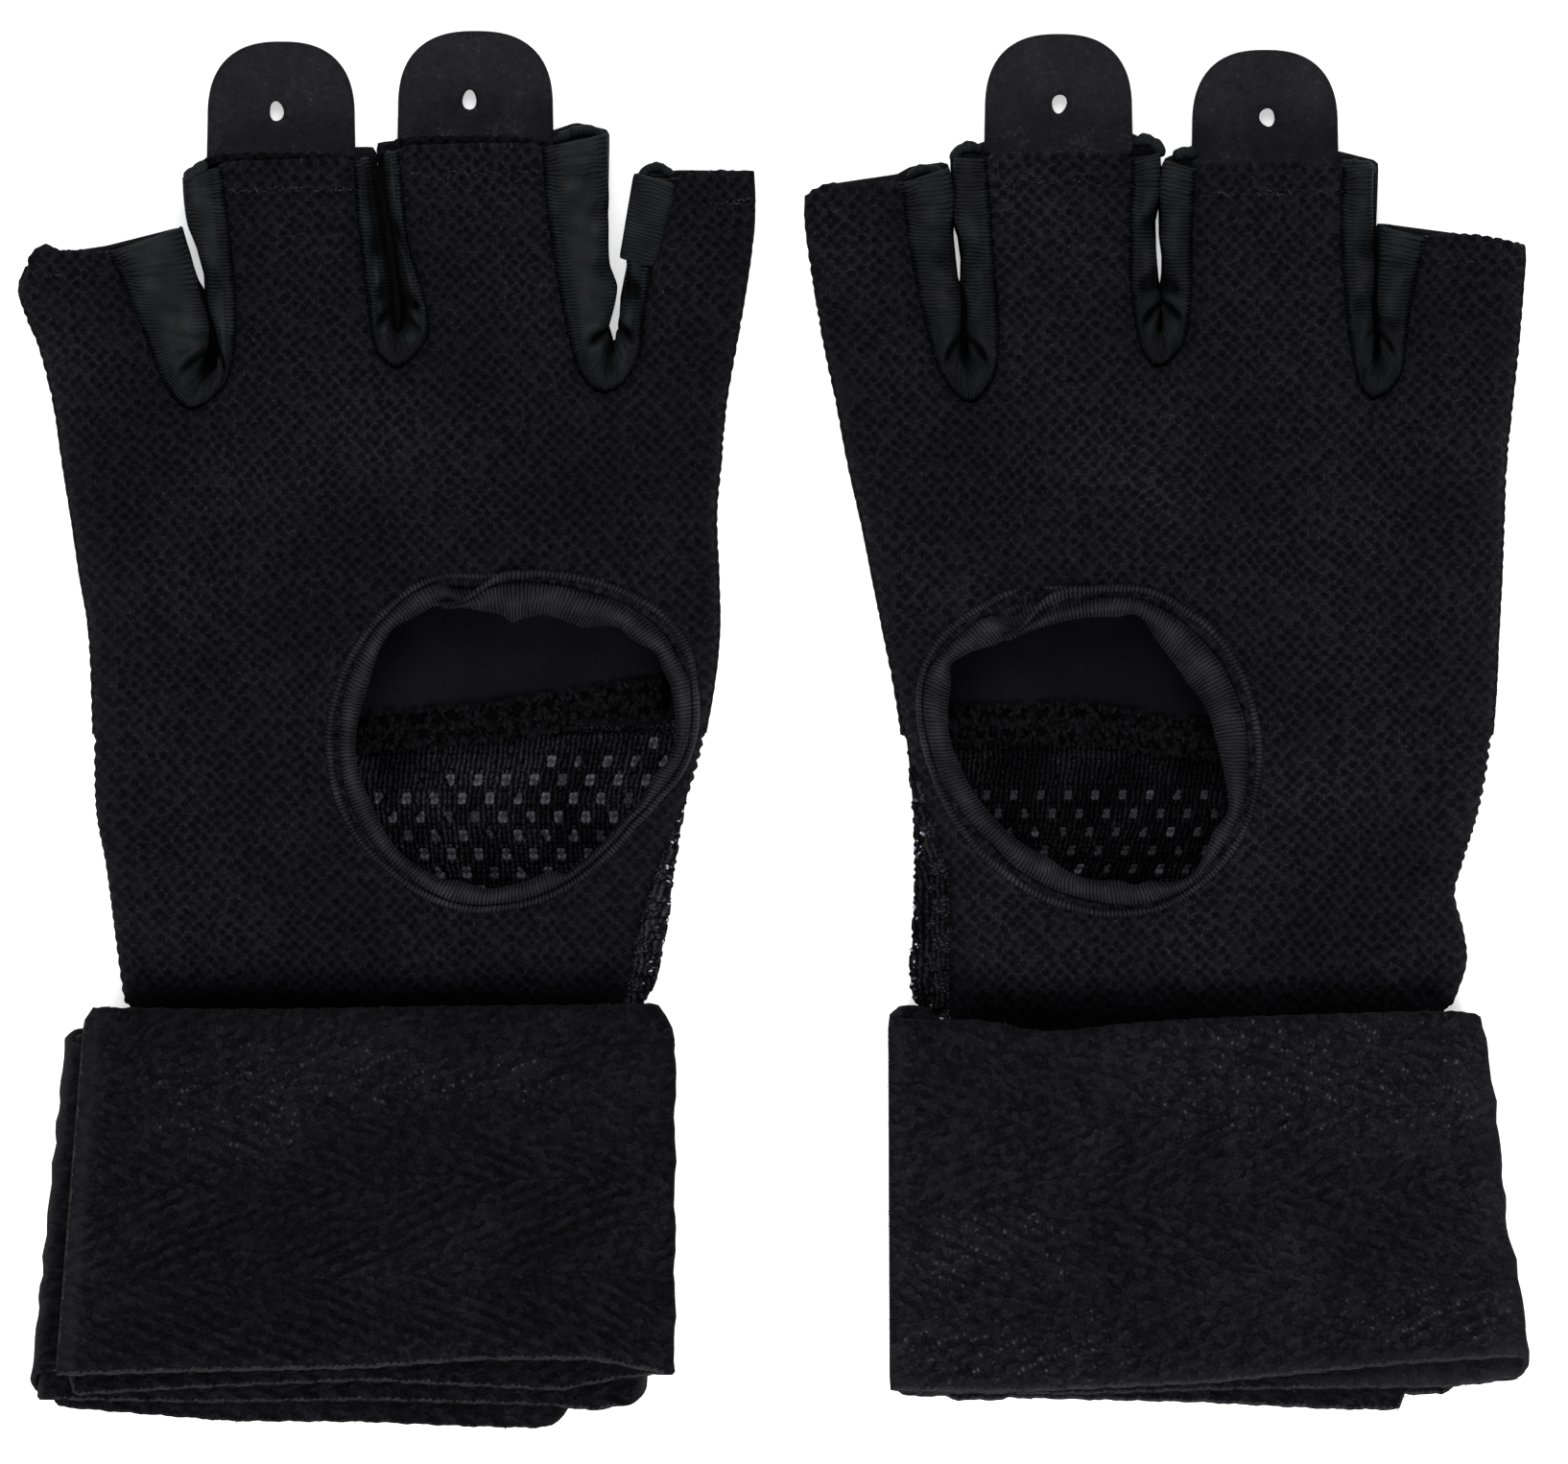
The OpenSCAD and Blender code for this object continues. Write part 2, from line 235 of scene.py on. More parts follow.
def closed(top, bot, F, N, bulge):
    n = len(top)
    E = rim(F)
    out = np.zeros_like(top)
    tan = top[E[:, 1]] - top[E[:, 0]]
    tan /= np.linalg.norm(tan, axis=1)[:, None] + 1e-12
    for k in (0, 1):
        np.add.at(out, E[:, k], np.cross(tan, N[E[:, k]]))
    on = np.unique(E)
    o = out[on] / (np.linalg.norm(out[on], axis=1)[:, None] + 1e-12)
    b = np.broadcast_to(bulge, (n, 1))[on] if np.ndim(bulge) else bulge
    mid = (top[on] + bot[on]) / 2 + o * b
    at = np.zeros(n, int)
    at[on] = 2 * n + np.arange(len(on))
    a, c = E[:, 0], E[:, 1]
    R1 = np.stack([c, a, at[a], at[c]], 1)
    R2 = np.stack([at[c], at[a], a + n, c + n], 1)
    faces = [F, F[:, ::-1] + n, R1, R2]
    return np.vstack([top, bot, mid]), faces, np.r_[np.arange(n), np.arange(n), on]


def tube(path, r, k=6):
    """A round thread along a line, with closed ends."""
    P = np.asarray(path, float)
    n = len(P)
    T = np.gradient(P, axis=0)
    T /= np.linalg.norm(T, axis=1)[:, None] + 1e-12
    up = np.array([0.0, 0.0, 1.0])
    A = np.cross(T, up)
    weak = np.linalg.norm(A, axis=1) < 0.15
    A[weak] = np.cross(T[weak], [1.0, 0.0, 0.0])
    A /= np.linalg.norm(A, axis=1)[:, None] + 1e-12
    B = np.cross(T, A)
    r = np.broadcast_to(np.asarray(r, float), (n,))
    w = np.linspace(0, 2 * np.pi, k, endpoint=False)
    V = P[:, None] + r[:, None, None] * (np.cos(w)[None, :, None] * A[:, None] + np.sin(w)[None, :, None] * B[:, None])
    V = V.reshape(-1, 3)
    i = np.arange(n - 1)[:, None] * k
    j = np.arange(k)[None]
    q = np.stack([i + j, i + (j + 1) % k, i + k + (j + 1) % k, i + k + j], -1).reshape(-1, 4)[:, ::-1]
    c0, c1 = len(V), len(V) + 1
    V = np.vstack([V, P[:1], P[-1:]])
    j = np.arange(k)
    caps = np.vstack([np.stack([np.full(k, c0), j, (j + 1) % k], 1), np.stack([np.full(k, c1), (n - 1) * k + (j + 1) % k, (n - 1) * k + j], 1)])
    return V, [q, caps]


class Heap:
    """Gathers several shells into one piece."""

    def __init__(self):
        self.V, self.F, self.M, self.A, self.n = [], [], [], [], 0

    def add(self, V, faces, flat=None, mat=0):
        V = np.asarray(V, float)
        self.V.append(V)
        self.A.append(np.asarray(V if flat is None else flat, float))
        for f in faces if isinstance(faces, list) else [faces]:
            self.F.append(f + self.n)
            self.M.append(np.full(len(f), mat))
        self.n += len(V)
        return self

    def make(self, name, *mats):
        V, A = np.vstack(self.V), np.vstack(self.A)
        if A.shape[1] == 2:
            A = np.c_[A, np.zeros(len(A))]
        me = bpy.data.meshes.new(name)
        sizes = np.concatenate([np.full(len(f), f.shape[1]) for f in self.F])
        loops = np.concatenate([f.ravel() for f in self.F])
        me.vertices.add(len(V))
        me.vertices.foreach_set("co", (V * MM).astype(np.float32).ravel())
        me.loops.add(len(loops))
        me.loops.foreach_set("vertex_index", loops.astype(np.int32))
        me.polygons.add(len(sizes))
        me.polygons.foreach_set("loop_start", np.r_[0, np.cumsum(sizes)[:-1]].astype(np.int32))
        me.polygons.foreach_set("material_index", np.concatenate(self.M).astype(np.int32))
        me.update(calc_edges=True)
        me.validate()
        me.attributes.new("flat", "FLOAT_VECTOR", "POINT").data.foreach_set("vector", A.astype(np.float32).ravel())
        me.shade_smooth()
        for m in mats:
            me.materials.append(m)
        o = bpy.data.objects.new(name, me)
        bpy.context.scene.collection.objects.link(o)
        return o


def flat_of(A, src):
    A = np.asarray(A, float)
    return np.c_[A[src], np.zeros(len(src))] if A.shape[1] == 2 else A[src]


def stitches(H, path, up, length=2.3, space=0.75, r=0.24, mat=0, seed=0):
    """A row of short sewn stitches along a line."""
    s = arc(path)
    rg = np.random.default_rng(seed)
    at = 0.4
    w = np.linspace(-1, 1, 7)
    while at + length < s[-1] - 0.3:
        q = np.linspace(at, at + length * rg.uniform(0.85, 1.05), 7)
        P = np.stack([np.interp(q, s, path[:, k]) for k in range(3)], 1)
        P += up * (0.16 * (1 - w ** 4) - 0.05)[:, None]
        V, F = tube(P, r * np.sqrt(1 - 0.8 * w ** 6) * (1 - 0.5 * np.abs(w) ** 8), 6)
        H.add(V, F, mat=mat)
        at += length + space


# ------------------------------------------------------------------ looks
def grey(v, cool=1.15):
    return (v, v * 0.977, v * cool, 1.0)


class Look:
    """A procedural cloth material that reads the flat cloth position, in millimetres."""

    def __init__(self, name, rough, spec, sheen=0.0, sheen_rough=0.5):
        self.m = bpy.data.materials.new(name)
        self.m.use_nodes = True
        self.t = self.m.node_tree
        self.b = next(n for n in self.t.nodes if n.type == "BSDF_PRINCIPLED")
        self.b.inputs["Roughness"].default_value = rough
        self.b.inputs["Specular IOR Level"].default_value = spec
        self.b.inputs["Sheen Weight"].default_value = sheen
        self.b.inputs["Sheen Roughness"].default_value = sheen_rough
        self.a = self.new("ShaderNodeAttribute")
        self.a.attribute_name = "flat"
        s = self.new("ShaderNodeSeparateXYZ")
        self.t.links.new(self.a.outputs["Vector"], s.inputs[0])
        self.u, self.v, self.w = s.outputs

    def new(self, kind):
        return self.t.nodes.new(kind)

    def put(self, socket, v):
        if isinstance(v, bpy.types.NodeSocket):
            self.t.links.new(v, socket)
        else:
            socket.default_value = v

    def math(self, op, *a):
        n = self.new("ShaderNodeMath")
        n.operation = op
        for i, x in enumerate(a):
            self.put(n.inputs[i], x)
        return n.outputs[0]

    def add(self, a, b):
        return self.math("ADD", a, b)

    def mul(self, a, b):
        return self.math("MULTIPLY", a, b)

    def off(self, x, by):
        """A noise value moved to lie about zero, and scaled."""
        return self.math("MULTIPLY_ADD", x, by, -0.5 * by)

    def sum(self, *a):
        t = a[0]
        for x in a[1:]:
            t = self.add(t, x)
        return t

    def wave(self, x, pitch, phase=0.0):
        return self.math("SINE", self.math("MULTIPLY_ADD", x, 2 * math.pi / pitch, phase))

    def ease(self, x, a, b, lo=0.0, hi=1.0):
        n = self.new("ShaderNodeMapRange")
        n.interpolation_type = "SMOOTHSTEP"
        if a > b:
            a, b, lo, hi = b, a, hi, lo
        for i, q in enumerate((x, a, b, lo, hi)):
            self.put(n.inputs[i], q)
        return n.outputs[0]

    def noise(self, per_mm, detail=3.0, rough=0.55, stretch=None):
        n = self.new("ShaderNodeTexNoise")
        src = self.a.outputs["Vector"]
        if stretch:
            m = self.new("ShaderNodeMapping")
            self.t.links.new(src, m.inputs["Vector"])
            m.inputs["Scale"].default_value = stretch
            src = m.outputs[0]
        self.t.links.new(src, n.inputs["Vector"])
        n.inputs["Scale"].default_value = per_mm
        n.inputs["Detail"].default_value = detail
        n.inputs["Roughness"].default_value = rough
        return n.outputs[0]

    def cells(self, per_mm, feature="F1", out="Distance"):
        n = self.new("ShaderNodeTexVoronoi")
        n.feature = feature
        self.t.links.new(self.a.outputs["Vector"], n.inputs["Vector"])
        n.inputs["Scale"].default_value = per_mm
        return n.outputs[out]

    def lattice(self, u, v, side, jitter, turn=0.0, stretch=1.0):
        """Distance to the nearest point of a loose square lattice, and a random value for that point."""
        c = self.new("ShaderNodeCombineXYZ")
        self.put(c.inputs[0], u)
        self.put(c.inputs[1], v)
        m = self.new("ShaderNodeMapping")
        self.t.links.new(c.outputs[0], m.inputs["Vector"])
        m.inputs["Rotation"].default_value = (0.0, 0.0, turn)
        m.inputs["Scale"].default_value = (1 / side, stretch / side, 1.0)
        n = self.new("ShaderNodeTexVoronoi")
        n.voronoi_dimensions = "2D"
        n.inputs["Scale"].default_value = 1.0
        n.inputs["Randomness"].default_value = jitter
        self.t.links.new(m.outputs[0], n.inputs["Vector"])
        s = self.new("ShaderNodeSeparateColor")
        self.t.links.new(n.outputs["Color"], s.inputs[0])
        return n.outputs["Distance"], s.outputs[0]

    def ramp(self, fac, *stops):
        n = self.new("ShaderNodeValToRGB")
        e = n.color_ramp.elements
        while len(e) < len(stops):
            e.new(0.5)
        for k, (p, c) in zip(e, stops):
            k.position, k.color = p, c
        self.put(n.inputs[0], fac)
        return n.outputs[0]

    def colour(self, c):
        self.put(self.b.inputs["Base Color"], c)
        return self

    def rough(self, fac, lo, hi):
        self.put(self.b.inputs["Roughness"], self.ease(fac, 0.0, 1.0, lo, hi))
        return self

    def bump(self, height, mm, strength=1.0):
        n = self.new("ShaderNodeBump")
        n.inputs["Strength"].default_value = strength
        n.inputs["Distance"].default_value = mm * MM
        self.put(n.inputs["Height"], height)
        self.put(self.b.inputs["Normal"], n.outputs[0])
        return self


def palm_knit(name, gain):
    k = Look(name, 0.9, 0.015, 0.008, 0.5)
    # skewed a little, as the knit is pulled off square
    wob = k.off(k.noise(0.05, 2.0), 3.2)
    near = k.off(k.noise(0.9, 3.0), 1.2)
    u, v = k.sum(k.u, wob, near), k.sum(k.v, k.mul(wob, 0.7), k.mul(near, -0.6))
    far, rand = k.lattice(u, v, 1.30, 0.36, math.pi / 4)
    fuzz = k.noise(3.4, 4.0, 0.7)
    grain = k.noise(1.5, 3.0, 0.75)
    broad = k.noise(0.045, 2.0)
    patch = k.noise(0.17, 2.0)
    pit = k.mul(k.ease(k.add(far, k.off(fuzz, 0.9)), 0.52, 0.14), k.ease(k.add(rand, k.off(patch, 1.0)), -0.2, 0.8, 0.25, 1.0))
    yarn = k.wave(k.add(u, v), 0.65)
    fleck = k.ease(k.noise(2.0, 3.0, 0.7, (1.0, 1.5, 1.0)), 0.58, 0.72)
    # The third coordinate paints shade on the palm where it runs down under the wound tape.
    lit = k.sum(k.mul(pit, -0.50), 0.58, k.off(fuzz, 1.1), k.off(grain, 0.6), k.off(broad, 0.55), k.mul(fleck, 0.42), k.mul(k.w, -0.55))
    tone = lambda x, c: grey(x * gain, c)
    k.colour(k.ramp(lit, (0.0, tone(0.0007, 1.5)), (0.35, tone(0.0025, 1.35)), (0.62, tone(0.0054, 1.24)), (0.85, tone(0.0108, 1.18)), (1.0, tone(0.025, 1.08))))
    k.bump(k.sum(k.mul(pit, -1.0), k.mul(yarn, 0.05), k.mul(fuzz, 0.7)), 0.45)
    return k.m


def grosgrain(name="grosgrain", gain=0.76, red=0.96, blue=1.16, cool=(0.80, 1.0, 1.02, 1.0)):
    k = Look(name, 0.62, 0.04, 0.01, 0.4)
    rib = k.wave(k.sum(k.u, k.off(k.noise(0.35, 2.0), 0.9), k.off(k.noise(1.6, 2.0), 0.22)), 0.48)
    fine = k.noise(2.6, 4.0, 0.6, (1.0, 3.0, 1.0))
    broad = k.noise(0.22, 3.0)
    # the third coordinate is how open the ribs stand: closed in the middle, open along the edges; over one it gives
    # painted shade, deepest in folds, dents and the falls into the gaps
    open_ = k.ease(k.w, 0.1, 1.0, 0.06, 1.0)
    cut = k.mul(k.ease(rib, 0.35, -0.85), open_)
    # values over one darken the colour: painted shade
    lit = k.sum(k.mul(cut, -0.62), 0.72, k.off(fine, 0.5), k.off(broad, 1.1), k.mul(k.ease(k.w, 1.05, 2.5), -0.85))
    tint = lambda v, b=1.0: (v * gain * red, v * gain, v * gain * blue * b, 1.0)
    base = k.ramp(lit, (0.0, tint(0.0008, 1.15)), (0.35, tint(0.0040, 1.05)), (0.68, tint(0.0092)), (1.0, tint(0.0190, 0.95)))
    cold = k.ramp(k.noise(0.16, 2.0), (0.44, (1.0, 0.98, 1.01, 1.0)), (0.66, cool))
    both = k.new("ShaderNodeVectorMath")
    both.operation = "MULTIPLY"
    k.t.links.new(base, both.inputs[0])
    k.t.links.new(cold, both.inputs[1])
    k.colour(both.outputs[0])
    k.rough(fine, 0.5, 0.72)
    k.bump(k.sum(k.mul(k.mul(rib, 0.45), open_), k.mul(fine, 0.25)), 0.15)
    return k.m


def tape(name, gain, first, start, spots, plain, deep):
    k = Look(name, 0.9, 0.015, 0.01, 0.5)
    wob = k.sum(k.off(k.noise(0.10, 2.0), 1.1), k.off(k.noise(0.9, 2.0), 0.22))
    band = k.math("FLOOR", k.math("DIVIDE", k.add(k.v, k.math("MULTIPLY_ADD", k.noise(0.7, 2.0), 0.7, start - 0.35)), 12.2))
    # the twill leans one way in one band of the tape and the other way in the next
    sign = k.math("MULTIPLY_ADD", k.math("MODULO", band, 2.0), 2.0 * first, -1.0 * first)
    across = k.sum(k.mul(k.mul(k.u, 0.40), sign), k.mul(k.v, 0.917), wob)
    along = k.math("SUBTRACT", k.mul(k.u, 0.917), k.mul(k.mul(k.v, 0.40), sign))
    twill = k.wave(across, 1.80)
    patch = k.noise(0.10, 2.0)
    fuzz = k.noise(2.9, 3.0, 0.75)
    broad = k.noise(0.045, 3.0)
    # the grooves of the twill are worn shallow in the upper part
    groove = k.mul(k.mul(k.ease(k.add(twill, k.off(fuzz, 1.8)), 0.45, -0.9), k.ease(patch, 0.34, 0.64, 0.25, 1.0)), k.ease(k.v, plain, plain + 9.0, 0.40, 1.0))
    # short floats of yarn, each a little lighter or darker, with dark gaps between them
    near, shade = k.lattice(across, along, 0.60, 0.8, 0.0, 0.7)
    chink = k.mul(k.ease(near, 0.42, 0.75), k.ease(shade, 0.8, 0.2))
    # worn places where the floats catch the light
    zone = 0.0
    for cu, cv, ru, rv in spots:
        du, dv = k.math("MULTIPLY_ADD", k.u, 1 / ru, -cu / ru), k.math("MULTIPLY_ADD", k.v, 1 / rv, -cv / rv)
        d = k.math("SQRT", k.add(k.mul(du, du), k.mul(dv, dv)))
        zone = k.math("MAXIMUM", zone, k.ease(k.add(d, k.off(patch, 1.2)), 1.1, 0.2))
    far, rand = k.lattice(across, along, 1.20, 0.7, 0.0, 1.5)
    fleck = k.mul(k.mul(k.ease(far, 0.36, 0.12), k.ease(k.add(rand, k.mul(zone, 0.74)), 0.78, 1.5)), k.ease(twill, -0.5, 0.5, 0.3, 1.0))
    weave = k.sum(k.mul(groove, -deep), k.off(shade, 0.34), k.mul(chink, -0.22), k.off(fuzz, 1.15), k.mul(fleck, 0.44), k.mul(zone, 0.06))
    # smoother weave along rolled edges, and a painted highlight there from the third coordinate
    lit = k.sum(0.38 + 0.36 * deep, k.off(broad, 0.5), k.mul(weave, k.ease(k.w, 0.1, 0.9, 1.0, 0.4)), k.mul(k.w, 0.24))
    tone = lambda x, c: grey(x * gain, c)
    k.colour(k.ramp(lit, (0.0, tone(0.0008, 1.6)), (0.35, tone(0.0028, 1.40)), (0.60, tone(0.0054, 1.30)), (0.85, tone(0.0110, 1.18)), (1.0, tone(0.027, 1.05))))
    k.bump(k.sum(k.mul(groove, -2.0 * deep), k.mul(chink, -0.4), k.mul(fuzz, 0.6)), 0.28)
    return k.m


def tab_sheet():
    k = Look("tab_sheet", 0.66, 0.05, 0.01, 0.5)
    fine = k.noise(2.2, 4.0, 0.75)
    mid = k.noise(0.7, 4.0, 0.7)
    broad = k.noise(0.16, 3.0)
    near, rand = k.lattice(k.add(k.u, k.off(mid, 2.0)), k.v, 0.95, 1.0)
    speck = k.mul(k.ease(near, 0.24, 0.06), k.ease(rand, 0.70, 0.95))
    scratch = k.mul(k.mul(k.ease(k.noise(0.9, 2.0, 0.6, (0.5, 5.0, 1.0)), 0.64, 0.72), 0.18), k.ease(k.w, 0.0, 0.5, 1.0, 0.0))
    # The third coordinate lightens the sheet towards the hem: painted light against the shade of the palm hem.
    lit = k.sum(0.40, k.off(fine, 1.3), k.off(mid, 0.9), k.off(broad, 0.8), k.mul(speck, 0.30), scratch, k.mul(k.w, 0.22))
    k.colour(k.ramp(lit, (0.0, grey(0.0030, 1.3)), (0.40, grey(0.0064, 1.24)), (0.70, grey(0.0100, 1.2)), (1.0, grey(0.030, 1.1))))
    k.rough(broad, 0.55, 0.78)
    k.bump(k.sum(k.mul(fine, 0.6), k.mul(broad, 0.4), k.mul(scratch, 1.5)), 0.12)
    return k.m


def lining_cloth():
    k = Look("lining_cloth", 0.8, 0.01, 0.006, 0.4)
    w = k.mul(k.wave(k.u, 0.55), k.wave(k.v, 0.55))
    fine = k.noise(2.0, 4.0, 0.6)
    broad = k.noise(0.05, 3.0)
    lit = k.sum(k.mul(w, 0.10), 0.45, k.off(fine, 0.45), k.off(broad, 1.1))
    # Dark colours, partly the cloth's own and partly painted shade for the hollow under the thumb hole.
    k.colour(k.ramp(lit, (0.0, grey(0.0008, 1.4)), (0.5, grey(0.0030, 1.3)), (1.0, grey(0.0070, 1.15))))
    k.bump(k.sum(k.mul(w, 0.3), k.mul(fine, 0.5)), 0.08)
    return k.m


def back_cloth():
    k = Look("back_cloth", 0.8, 0.03, 0.015, 0.4)
    w = k.mul(k.wave(k.add(k.u, k.v), 0.85), k.wave(k.math("SUBTRACT", k.u, k.v), 0.85))
    fine = k.noise(2.4, 4.0, 0.62)
    broad = k.noise(0.05, 3.0)
    lit = k.sum(k.mul(w, 0.2), 0.45, k.off(fine, 0.8), k.off(broad, 0.6))
    k.colour(k.ramp(lit, (0.0, grey(0.0014)), (0.5, grey(0.0060)), (1.0, grey(0.0150))))
    k.bump(k.sum(k.mul(w, 0.4), k.mul(fine, 0.5)), 0.14)
    return k.m


def net_yarn(name="net_yarn", gain=1.0):
    k = Look(name, 0.8, 0.008, 0.005, 0.4)
    rib = k.wave(k.sum(k.u, k.off(k.noise(0.8, 2.0), 0.7), k.off(k.noise(0.25, 2.0), 0.8)), 0.66)
    loop = k.wave(k.sum(k.v, k.mul(rib, 0.15), k.off(k.noise(0.6, 2.0), 0.8)), 0.66)
    fine = k.noise(2.0, 4.0, 0.7)
    broad = k.noise(0.12, 2.0)
    lit = k.sum(k.mul(rib, 0.24), k.mul(loop, 0.06), 0.44, k.off(fine, 1.4), k.off(broad, 1.0), k.mul(k.w, 0.26))
    tone = lambda x, c=1.0: grey(x * gain, c)
    k.colour(k.ramp(lit, (0.0, tone(0.0003, 1.4)), (0.4, tone(0.0024, 1.25)), (0.75, tone(0.0104, 1.15)), (1.0, tone(0.0280))))
    k.bump(k.sum(k.mul(rib, 0.5), k.mul(loop, 0.25), k.mul(fine, 0.5)), 0.25)
    return k.m


def net_core():
    k = Look("net_core", 0.7, 0.05, 0.02, 0.4)
    spot = k.cells(2.9)
    fine = k.noise(4.0, 3.0, 0.6)
    lit = k.sum(k.ease(spot, 0.75, 0.2), k.off(fine, 0.9))
    k.colour(k.ramp(lit, (0.0, grey(0.0015)), (0.5, grey(0.006)), (1.0, grey(0.030))))
    k.bump(lit, 0.2)
    return k.m


def thread(name="thread", v=0.007, shine=1.0):
    k = Look(name, 0.75, 0.04 * shine, 0.02 * shine, 0.4)
    ply = k.noise(2.4, 4.0, 0.65, (1.0, 1.0, 2.5))
    k.colour(k.ramp(ply, (0.2, grey(v * 0.3)), (0.55, grey(v)), (0.85, grey(v * 2.8))))
    k.bump(ply, 0.18)
    return k.m


def foam_block():
    k = Look("foam_block", 0.9, 0.05, 0.0)
    cell = k.cells(1.1)
    fine = k.noise(2.0, 3.0)
    k.colour(k.ramp(k.add(k.mul(cell, 0.6), k.mul(fine, 0.5)), (0.1, grey(0.008)), (0.6, grey(0.02)), (1.0, grey(0.035))))
    k.bump(k.add(cell, fine), 0.25)
    return k.m


def pile(name, v):
    k = Look(name, 0.9, 0.04, 0.05, 0.4)
    curl = k.noise(1.6, 5.0, 0.7)
    k.colour(k.ramp(curl, (0.25, grey(v * 0.3)), (0.55, grey(v)), (0.85, grey(v * 2.2))))
    k.bump(curl, 0.4)
    return k.m


def hook_plastic():
    k = Look("hook_plastic", 0.5, 0.15, 0.0)
    w = k.mul(k.wave(k.u, 0.7), k.wave(k.v, 0.7))
    fine = k.noise(2.0, 3.0)
    k.colour(k.ramp(k.add(k.mul(w, 0.25), fine), (0.2, grey(0.002)), (0.6, grey(0.0045)), (1.0, grey(0.010))))
    k.bump(k.add(w, fine), 0.1)
    return k.m


M_PALM = {"right": palm_knit("palm_knit", 1.14), "left": palm_knit("palm_knit_left", 1.28)}
M_RIB = {"right": grosgrain(), "left": grosgrain("grosgrain_left", 0.66)}
M_TAB, M_LINING, M_BACK = tab_sheet(), lining_cloth(), back_cloth()
M_TAPE = {
    "right": tape("tape_right", 0.87, -1.0, 1.2, [(30, 8.5, 36, 6.5), (22, 15, 13, 8), (55, 9, 20, 6)], 14.0, 0.24),
    "left": tape("tape_left", 1.16, 1.0, 0.1, [(58, 8, 36, 14), (13, 29, 16, 9), (16, 43, 26, 8), (70, 41, 20, 6)], 4.0, 0.14),
}
M_BIND = grosgrain("binding_ribbon", 1.12, 0.99, 1.14, (1.0, 0.97, 1.02, 1.0))
# The netting is kept dark partly as painted shade in the thumb hole; the left glove's copy is darker still, painted
# shade.
M_NET = {"right": net_yarn(), "left": net_yarn("net_yarn_left", 0.48)}
M_CORE, M_THREAD, M_SEAM = net_core(), thread(), thread("overlock_thread", 0.0036, 0.5)
M_FOAM, M_LOOP, M_HOOK = foam_block(), pile("loop_pile", 0.0075), hook_plastic()
M_FUZZ = thread("loose_thread", 0.017)
M_EDGE = thread("selvedge_thread", 0.0140)
M_STITCH = thread("stitch_thread", 0.009)
# Shaded and lit copies of the pale spacer yarn: painted shade and painted highlight.
M_PALE, M_DIM, M_LIT = thread("spacer_yarn", 0.050), thread("spacer_yarn_shaded", 0.021), thread("spacer_yarn_lit", 0.30)
# The seam ground is near black, partly as painted shade for the holes in the seam.
M_SEAM_HOLE_SHADE, M_LOOPY = thread("seam_ground_painted_shade", 0.0009, 0.1), thread("seam_loops", 0.0020, 0.3)

